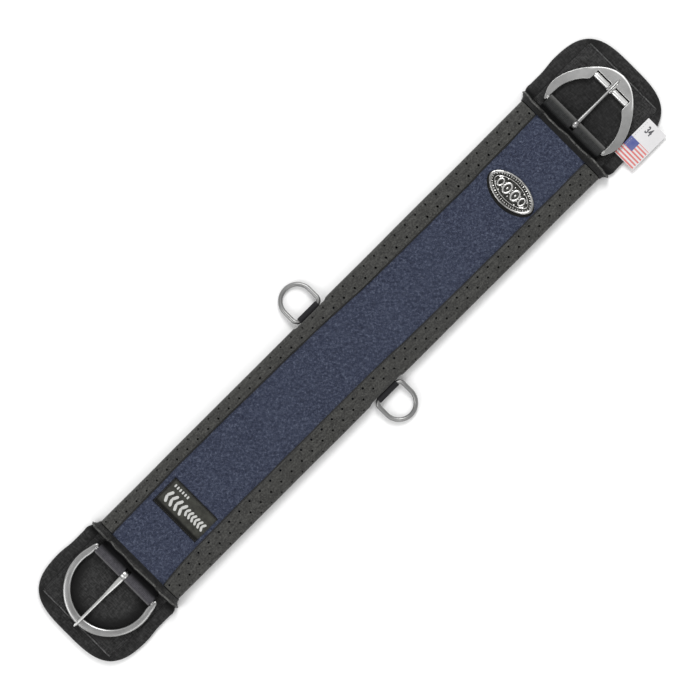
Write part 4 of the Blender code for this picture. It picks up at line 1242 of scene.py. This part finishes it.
def prong(width, mid_width, tip_width, line, thick):
    """A tongue: an eye round the bar, and a shank that spreads into the eye and tapers to the tip."""
    fine = through([(a, b, t) for (a, b), t in zip(line, thick)], 8)
    rings = []
    last = fine[-1][0]
    for i, (a, b, t) in enumerate(fine):
        share = max(0.0, (a - 8) / (last - 8))
        w = mid_width * (1 - share) + tip_width * share
        w += (width - mid_width) * (1 - float(ease((a - 5) / 30)))
        near = float(ease((last + 0.5 - a) / 3.0))
        rings.append(np.array([(a, u, b + v) for u, v in section(w / 2 * (0.35 + 0.65 * near), t / 2 * (0.45 + 0.55 * near), 20, 2.2)]))
    rings.append(np.array([(last + 0.7, u, fine[-1][1] + v) for u, v in section(tip_width * 0.12, thick[-1] * 0.12, 20, 2.2)]))
    shank = loft(rings)
    r0, r1 = BAR_R + 0.35, BAR_R + 0.35 + 1.8
    hw = width / 2
    prof = [(-hw + 0.5, r0), (-hw + 0.12, r0 + 0.3), (-hw, r0 + 0.9), (-hw + 0.12, r1 - 0.35), (-hw + 0.6, r1 - 0.03), (0, r1), (hw - 0.6, r1 - 0.03), (hw - 0.12, r1 - 0.35), (hw, r0 + 0.9), (hw - 0.12, r0 + 0.3), (hw - 0.5, r0), (0, r0)]
    return joined([shank, turned(prof, 44)])


piece("plain_tongue_prong", *moved(prong(6.6, 4.5, 3.3, [(4.4, 2.2), (9, 2.6), (20, 2.95), (40, 3.85), (60, 4.6), (72, 4.85), (79.2, 4.8)], [3.2, 3.3, 3.2, 3.1, 3.0, 2.8, 2.0]), PLAIN_M),
      STEEL, "plain_tongue", ["plain_buckle_tongue"], "stainless_steel", crease=50)
piece("roller_tongue_prong", *moved(prong(4.5, 3.7, 2.9, [(4.4, 2.2), (9, 2.4), (20, 2.65), (40, 3.2), (52, 4.0), (57, 4.15), (62, 3.7), (69.4, 3.35)], [3.2, 3.2, 3.1, 3.1, 3.0, 2.9, 2.9, 2.2]), ROLLER_M),
      TONGUE, "roller_tongue", ["roller_buckle_tongue"], "stainless_steel", crease=50)


# ------------------------------------------------------------------ dee rings
def dee(side):
    corner, half_w, reach, r = 6.0, 18.9, 37.0, 2.6
    c = reach - half_w
    path = []
    for i in range(10):
        path.append((-half_w + corner + (2 * half_w - 2 * corner) * i / 10, 0.0))
    for i in range(9):
        a = -math.pi / 2 + math.pi / 2 * i / 8
        path.append((half_w - corner + corner * math.cos(a), corner + corner * math.sin(a)))
    path += [(half_w, corner + (c - corner) * i / 6) for i in range(1, 6)]
    for i in range(41):
        a = math.pi * i / 40
        path.append((half_w * math.cos(a), c + half_w * math.sin(a)))
    path += [(-half_w, c - (c - corner) * i / 6) for i in range(1, 6)]
    for i in range(9):
        a = math.pi + math.pi / 2 * i / 8
        path.append((-half_w + corner + corner * math.cos(a), corner + corner * math.sin(a)))
    p = np.array(path[:-1])
    d = np.roll(p, -1, 0) - np.roll(p, 1, 0)
    d /= np.linalg.norm(d, axis=1)[:, None]
    rings = []
    for (x, y), (dx, dy) in zip(p, d):
        rings.append(np.array([(x + r * math.cos(w) * dy, y - r * math.cos(w) * dx, r * math.sin(w)) for w in np.linspace(0, 2 * math.pi, 19)[:-1]]))
    m = Matrix.Translation((DEE_X, DEE_Y * side, DEE_Z)) @ Matrix.Rotation(math.pi if side < 0 else 0.0, 4, "Z") @ Matrix.Rotation(-math.radians(6.3), 4, "X")
    return moved(loft(rings, loop=True), m)


piece("dee_front", *dee(1), RING, "front_dee", ["dee_ring_front"], "stainless_steel")
piece("dee_rear", *dee(-1), RING, "rear_dee", ["dee_ring_rear"], "stainless_steel")


# ------------------------------------------------------------------ label, badge, tag
def slab(outline_pts, low, high, width=0.2, segments=2):
    return flat_part([outline_pts], low, high, width, segments)


def patch(x0, x1, y0, y1, height, thick, lift=0.0, nx=18, ny=30):
    """A thin cloth patch that follows the face."""
    xs, ys = np.linspace(x0, x1, nx), np.linspace(y0, y1, ny)
    top = []
    for a in xs:
        for b in ys:
            e = min(a - x0, x1 - a, b - y0, y1 - b)
            fold = 0.18 * math.exp(-(((e - 1.2) / 1.0) ** 2)) - 0.18 * math.exp(-((e / 0.4) ** 2))
            top.append((a, b, face_top(a, b) + height + fold + lift))
    top = np.array(top)
    low = top - np.array([0, 0, thick])
    quads = [(i * ny + j, (i + 1) * ny + j, (i + 1) * ny + j + 1, i * ny + j + 1) for i in range(nx - 1) for j in range(ny - 1)]
    return shell(top, low, quads)


LX0, LX1, LY0, LY1 = -273.6, -237.0, -29.2, 37.2
label = piece("label_cloth", *patch(LX0, LX1, LY0, LY1, 0.85, 0.6), LABEL, "girth", ["woven_label"], "label_cloth", crease=60)
motif = []


def bar_on_face(cx, cy, dx, dy, wide, height=0.28):
    """A raised satin bar from the centre (cx, cy), half length vector (dx, dy)."""
    n = 15
    length = math.hypot(dx, dy)
    ux, uy = dx / length, dy / length
    rings = []
    for i in range(n):
        t = math.sin(math.pi * (i / (n - 1) - 0.5))
        taper = max(0.12, math.sqrt(max(0.0, 1 - abs(t) ** 5)))
        px, py = cx + dx * t, cy + dy * t
        zb = face_top(px, py) + 0.95
        rings.append(np.array([(px - uy * u, py + ux * u, zb + v) for u, v in section(wide / 2 * taper, height * min(1.0, 0.3 + taper), 14, 2.4)]))
    return loft(rings)


# broad chevrons over the upper part, narrow ones below, and a short row of dots beside them
for yy in np.linspace(28.0, 6.5, 4):
    motif.append(bar_on_face(-261.1, yy, 3.9, 1.9, 3.5))
    motif.append(bar_on_face(-253.9, yy, 3.9, -1.9, 3.5))
for yy in np.linspace(0.6, -23.6, 6):
    motif.append(bar_on_face(-258.0, yy, 2.6, 1.5, 2.8))
    motif.append(bar_on_face(-253.4, yy, 2.6, -1.5, 2.8))
for yy in np.linspace(30.2, 11.2, 6):
    motif.append(bar_on_face(-243.7, yy, 1.9, 0.01, 2.1))
piece("label_chevrons", *joined(motif), SILVER_THREAD, "girth", (), "label_cloth", crease=60)
ring = []
for a, b in ((LX0 + 1.2, LY0 + 1.2), (LX1 - 1.2, LY0 + 1.2), (LX1 - 1.2, LY1 - 1.2), (LX0 + 1.2, LY1 - 1.2), (LX0 + 1.2, LY0 + 1.2)):
    ring.append((a, b))
line = resample(ring, 260)
line3 = [(a, b, face_top(a, b) + 1.05) for a, b in line]
piece("label_stitches", *stitches(line3, 2.0, 0.8, 0.25), THREAD, "girth", (), "thread", crease=60)

BX, BY = 251.0, -2.6


def oval(a, b, power=1.85, steps=72):
    made = []
    for i in range(steps):
        t = 2 * math.pi * i / steps
        c, s = math.cos(t), math.sin(t)
        made.append((BX + a * math.copysign(abs(c) ** (2 / power), c), BY + b * math.copysign(abs(s) ** (2 / power), s)))
    return made


def badge_part():
    parts = []
    # a dished plate: rings from the middle of the back round the rim to the middle of the front
    prof = [(0.02, 14.45), (0.55, 14.4), (0.97, 14.3), (1.0, 14.7), (1.0, 15.9), (0.985, 16.35), (0.955, 16.55), (0.925, 16.5), (0.90, 16.2), (0.88, 15.75), (0.70, 15.7), (0.35, 15.75), (0.02, 15.8)]
    rings = []
    for s, zz in prof:
        rings.append(np.array([(BX + (p - BX) * s, BY + (q - BY) * s, zz) for p, q in oval(17.4, 31.6)]))
    parts.append(loft(rings))
    return parts


relief = badge_part()


def boss(cx, cy, r, h, squash=1.0, base=15.7):
    rings = []
    for i in range(6):
        a = math.pi / 2 * i / 5
        rr = r * math.cos(a) + 0.02
        rings.append(np.array([(cx + rr * math.cos(w), cy + rr * squash * math.sin(w), base - 0.2 + (h + 0.2) * math.sin(a)) for w in np.linspace(0, 2 * math.pi, 15)[:-1]]))
    return loft(rings)


def ridge(points, r=0.8, base=15.7, h=0.8, closed=False):
    pts = resample(list(points) + ([points[0]] if closed else []), max(8, int(6 + len(points) * 3)))
    rings = []
    n = len(pts)
    if closed:
        pts = pts[:-1]
        n -= 1
    for i, (a, b) in enumerate(pts):
        d = pts[(i + 1) % n] - pts[i - 1] if closed else pts[min(n - 1, i + 1)] - pts[max(0, i - 1)]
        d = d / max(1e-9, np.linalg.norm(d))
        t = 1.0 if closed else min(1.0, min(i, n - 1 - i) / 1.5 + 0.3)
        rings.append(np.array([(a - d[1] * u * t, b + d[0] * u * t, base + max(-0.2, v * t)) for u, v in section(r, h, 12, 2.6)]))
    return loft(rings, loop=closed)


def small_oval(cx, cy, a, b, steps=20):
    return [(cx + a * math.cos(2 * math.pi * i / steps), cy + b * math.sin(2 * math.pi * i / steps)) for i in range(steps)]


# an outer ring of short bars, a fine inner line, and plain ovals and leaves down the middle
outer_line = resample(oval(15.0, 29.1) + [oval(15.0, 29.1)[0]], 47)[:-1]
inner_line = resample(oval(12.6, 26.4) + [oval(12.6, 26.4)[0]], 47)[:-1]
for i, (p0, p1) in enumerate(zip(outer_line, inner_line)):
    if i % 2:
        relief.append(boss(*(0.5 * (p0 + p1)), 0.85, 0.8))
    else:
        relief.append(ridge([p0, p1], 0.62, h=0.75))
relief.append(ridge(oval(10.9, 24.4, steps=40), 0.42, h=0.6, closed=True))
for cy in (-6.1, 6.1):
    relief.append(ridge(small_oval(BX, BY + cy, 6.3, 4.3), 1.15, h=0.95, closed=True))
    relief.append(boss(BX, BY + cy, 1.7, 0.9, 0.8))
for s in (-1, 1):
    relief.append(ridge(small_oval(BX, BY + s * 16.2, 4.6, 3.1), 1.0, h=0.9, closed=True))
    for w in (-1, 1):
        relief.append(ridge([(BX + w * 2.2, BY + s * 21.6), (BX + w * 4.6, BY + s * 20.6), (BX + w * 6.6, BY + s * 17.8)], 0.75, h=0.8))
        relief.append(boss(BX + w * 8.2, BY + s * 12.4, 1.15, 0.8))
    for w in (-3.4, 0.0, 3.4):
        relief.append(boss(BX + w, BY + s * 11.4, 0.9, 0.8))
for w in (-6.6, -2.4, 2.4, 6.6):
    relief.append(boss(BX + w, BY, 1.15, 0.85, 0.8))
piece("badge_relief", *joined(relief), BADGE, "girth", ["oval_badge"], "antique_silver", crease=45)
# a dark sheet under the badge, a little larger on the inboard side: the badge's painted shadow
painted_shadow_outline = [(BX - 1.7 + (a - BX) * 1.10, BY - 0.5 + (b - BY) * 1.045) for a, b in oval(17.4, 31.6)]
piece("badge_painted_shadow", *slab(painted_shadow_outline, 13.7, 14.85, 0.3, 2), SHADE_CLOTH, "girth", (), "black_cloth", crease=50)

# Size tag
TX0, TX1, TY0, TY1 = 364.8, 418.6, -80.9, -52.6
k = Look("printed_tag", lin(214, 213, 214), 0.8, sheen=0.05, spec=0.2)
x, y, z = k.xyz()
weave = k.math("MULTIPLY", k.bands(0.5, "X"), k.bands(0.5, "Y"))
stripe = k.math("FRACT", k.math("MULTIPLY", k.math("SUBTRACT", x, 0.3655), 1 / 0.0042))
red = k.math("LESS_THAN", stripe, 0.5)
left = k.math("LESS_THAN", x, 0.3915)
edge_l = k.math("GREATER_THAN", x, 0.3655)
low_y = k.math("GREATER_THAN", y, TY0 * MM + 0.001)
area = k.math("MULTIPLY", k.math("MULTIPLY", left, edge_l), low_y)
field = k.math("MULTIPLY", k.math("GREATER_THAN", x, 0.3790), k.math("GREATER_THAN", y, -0.0655))
base = k.mix(k.math("MULTIPLY", area, red), lin(214, 213, 214), lin(206, 112, 108))
base = k.mix(k.math("MULTIPLY", area, field), base, lin(80, 88, 146))
base = k.mix(k.grey(k.noise(90, 3), 0.35, 0.7, 0.0, 0.12), base, lin(196, 196, 196))
k.colour(base)
TAG = k.bump((weave, 0.05))
k = Look("tag_thread", lin(176, 176, 178), 0.6)
ply = k.bands(0.5, "DIAGONAL")
k.colour(k.ramp(ply, [(0, lin(150, 150, 152)), (1, lin(196, 196, 198))]))
TAG_THREAD = k.bump((ply, 0.05))


def tag_z(a, b):
    out = max(0.0, -b - 60.0)
    return 7.1 - 0.10 * out + 0.35 * math.sin((a - TX0) / 12.0) * min(1.0, out / 8) + 0.25 * rough_at(a, b, size=14, seed=61)


def make_tag(x0, x1, y0, y1, z_up, thick, nx=30, ny=18):
    xs, ys = np.linspace(x0, x1, nx), np.linspace(y0, y1, ny)
    top = np.array([(a, b, tag_z(a, b) + z_up) for a in xs for b in ys])
    low = top - np.array([0, 0, thick])
    quads = [(i * ny + j, (i + 1) * ny + j, (i + 1) * ny + j + 1, i * ny + j + 1) for i in range(nx - 1) for j in range(ny - 1)]
    return shell(top, low, quads)


tag = piece("printed_size_tag", *make_tag(TX0, TX1, TY0, TY1, 0.0, 0.45), TAG, "girth", ["size_tag"], "tag_cloth", crease=60)
k = Look("tag_print", lin(70, 70, 74), 0.7)
k.colour(k.ramp(k.noise(600, 2), [(0.3, lin(54, 54, 58)), (0.7, lin(92, 92, 96))]))
data = bpy.data.curves.new("size_number", "FONT")
data.body = "34"
data.size = 12.6
data.align_x = "CENTER"
data.align_y = "CENTER"
data.extrude = 0.03
data.offset = 0.34
data.resolution_u = 6
tmp = bpy.data.objects.new("size_number_text", data)
scene.collection.objects.link(tmp)
bpy.context.view_layer.update()
me = bpy.data.meshes.new_from_object(tmp.evaluated_get(bpy.context.evaluated_depsgraph_get()))
bpy.data.objects.remove(tmp)
v = []
for p in me.vertices:
    # the number reads with its top towards the roller buckle's nose
    a, b = 408.0 + p.co.y, -63.6 - p.co.x * 0.66
    v.append((a, b, tag_z(a, b) + 0.06 + p.co.z))
f = [tuple(q.vertices) for q in me.polygons]
piece("size_number", np.array(v), f, k.bump((k.noise(500, 2), 0.01)), "girth", (), "tag_cloth")
line3 = [(a, -55.2, tag_z(a, -55.2) + 0.05) for a in np.linspace(TX0 + 1, TX1 - 1, 80)]
piece("tag_stitches", *stitches(line3, 2.2, 0.9, 0.22), TAG_THREAD, "girth", (), "thread", crease=60)

# ------------------------------------------------------------------ inner pieces keep their CAD shape
for node, look in (("foam_core", FOAM), ("hook_strip_front", HOOK_TAPE_AND_SHADE), ("hook_strip_rear", HOOK_TAPE_AND_SHADE), ("loop_bartack_plain_end", THREAD), ("loop_bartack_roller_end", THREAD),
                   ("badge_rivet_front", STEEL), ("badge_rivet_rear", STEEL), ("roller_axle_pin", STEEL)):
    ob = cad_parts[node]
    ob.data.materials.clear()
    ob.data.materials.append(look)
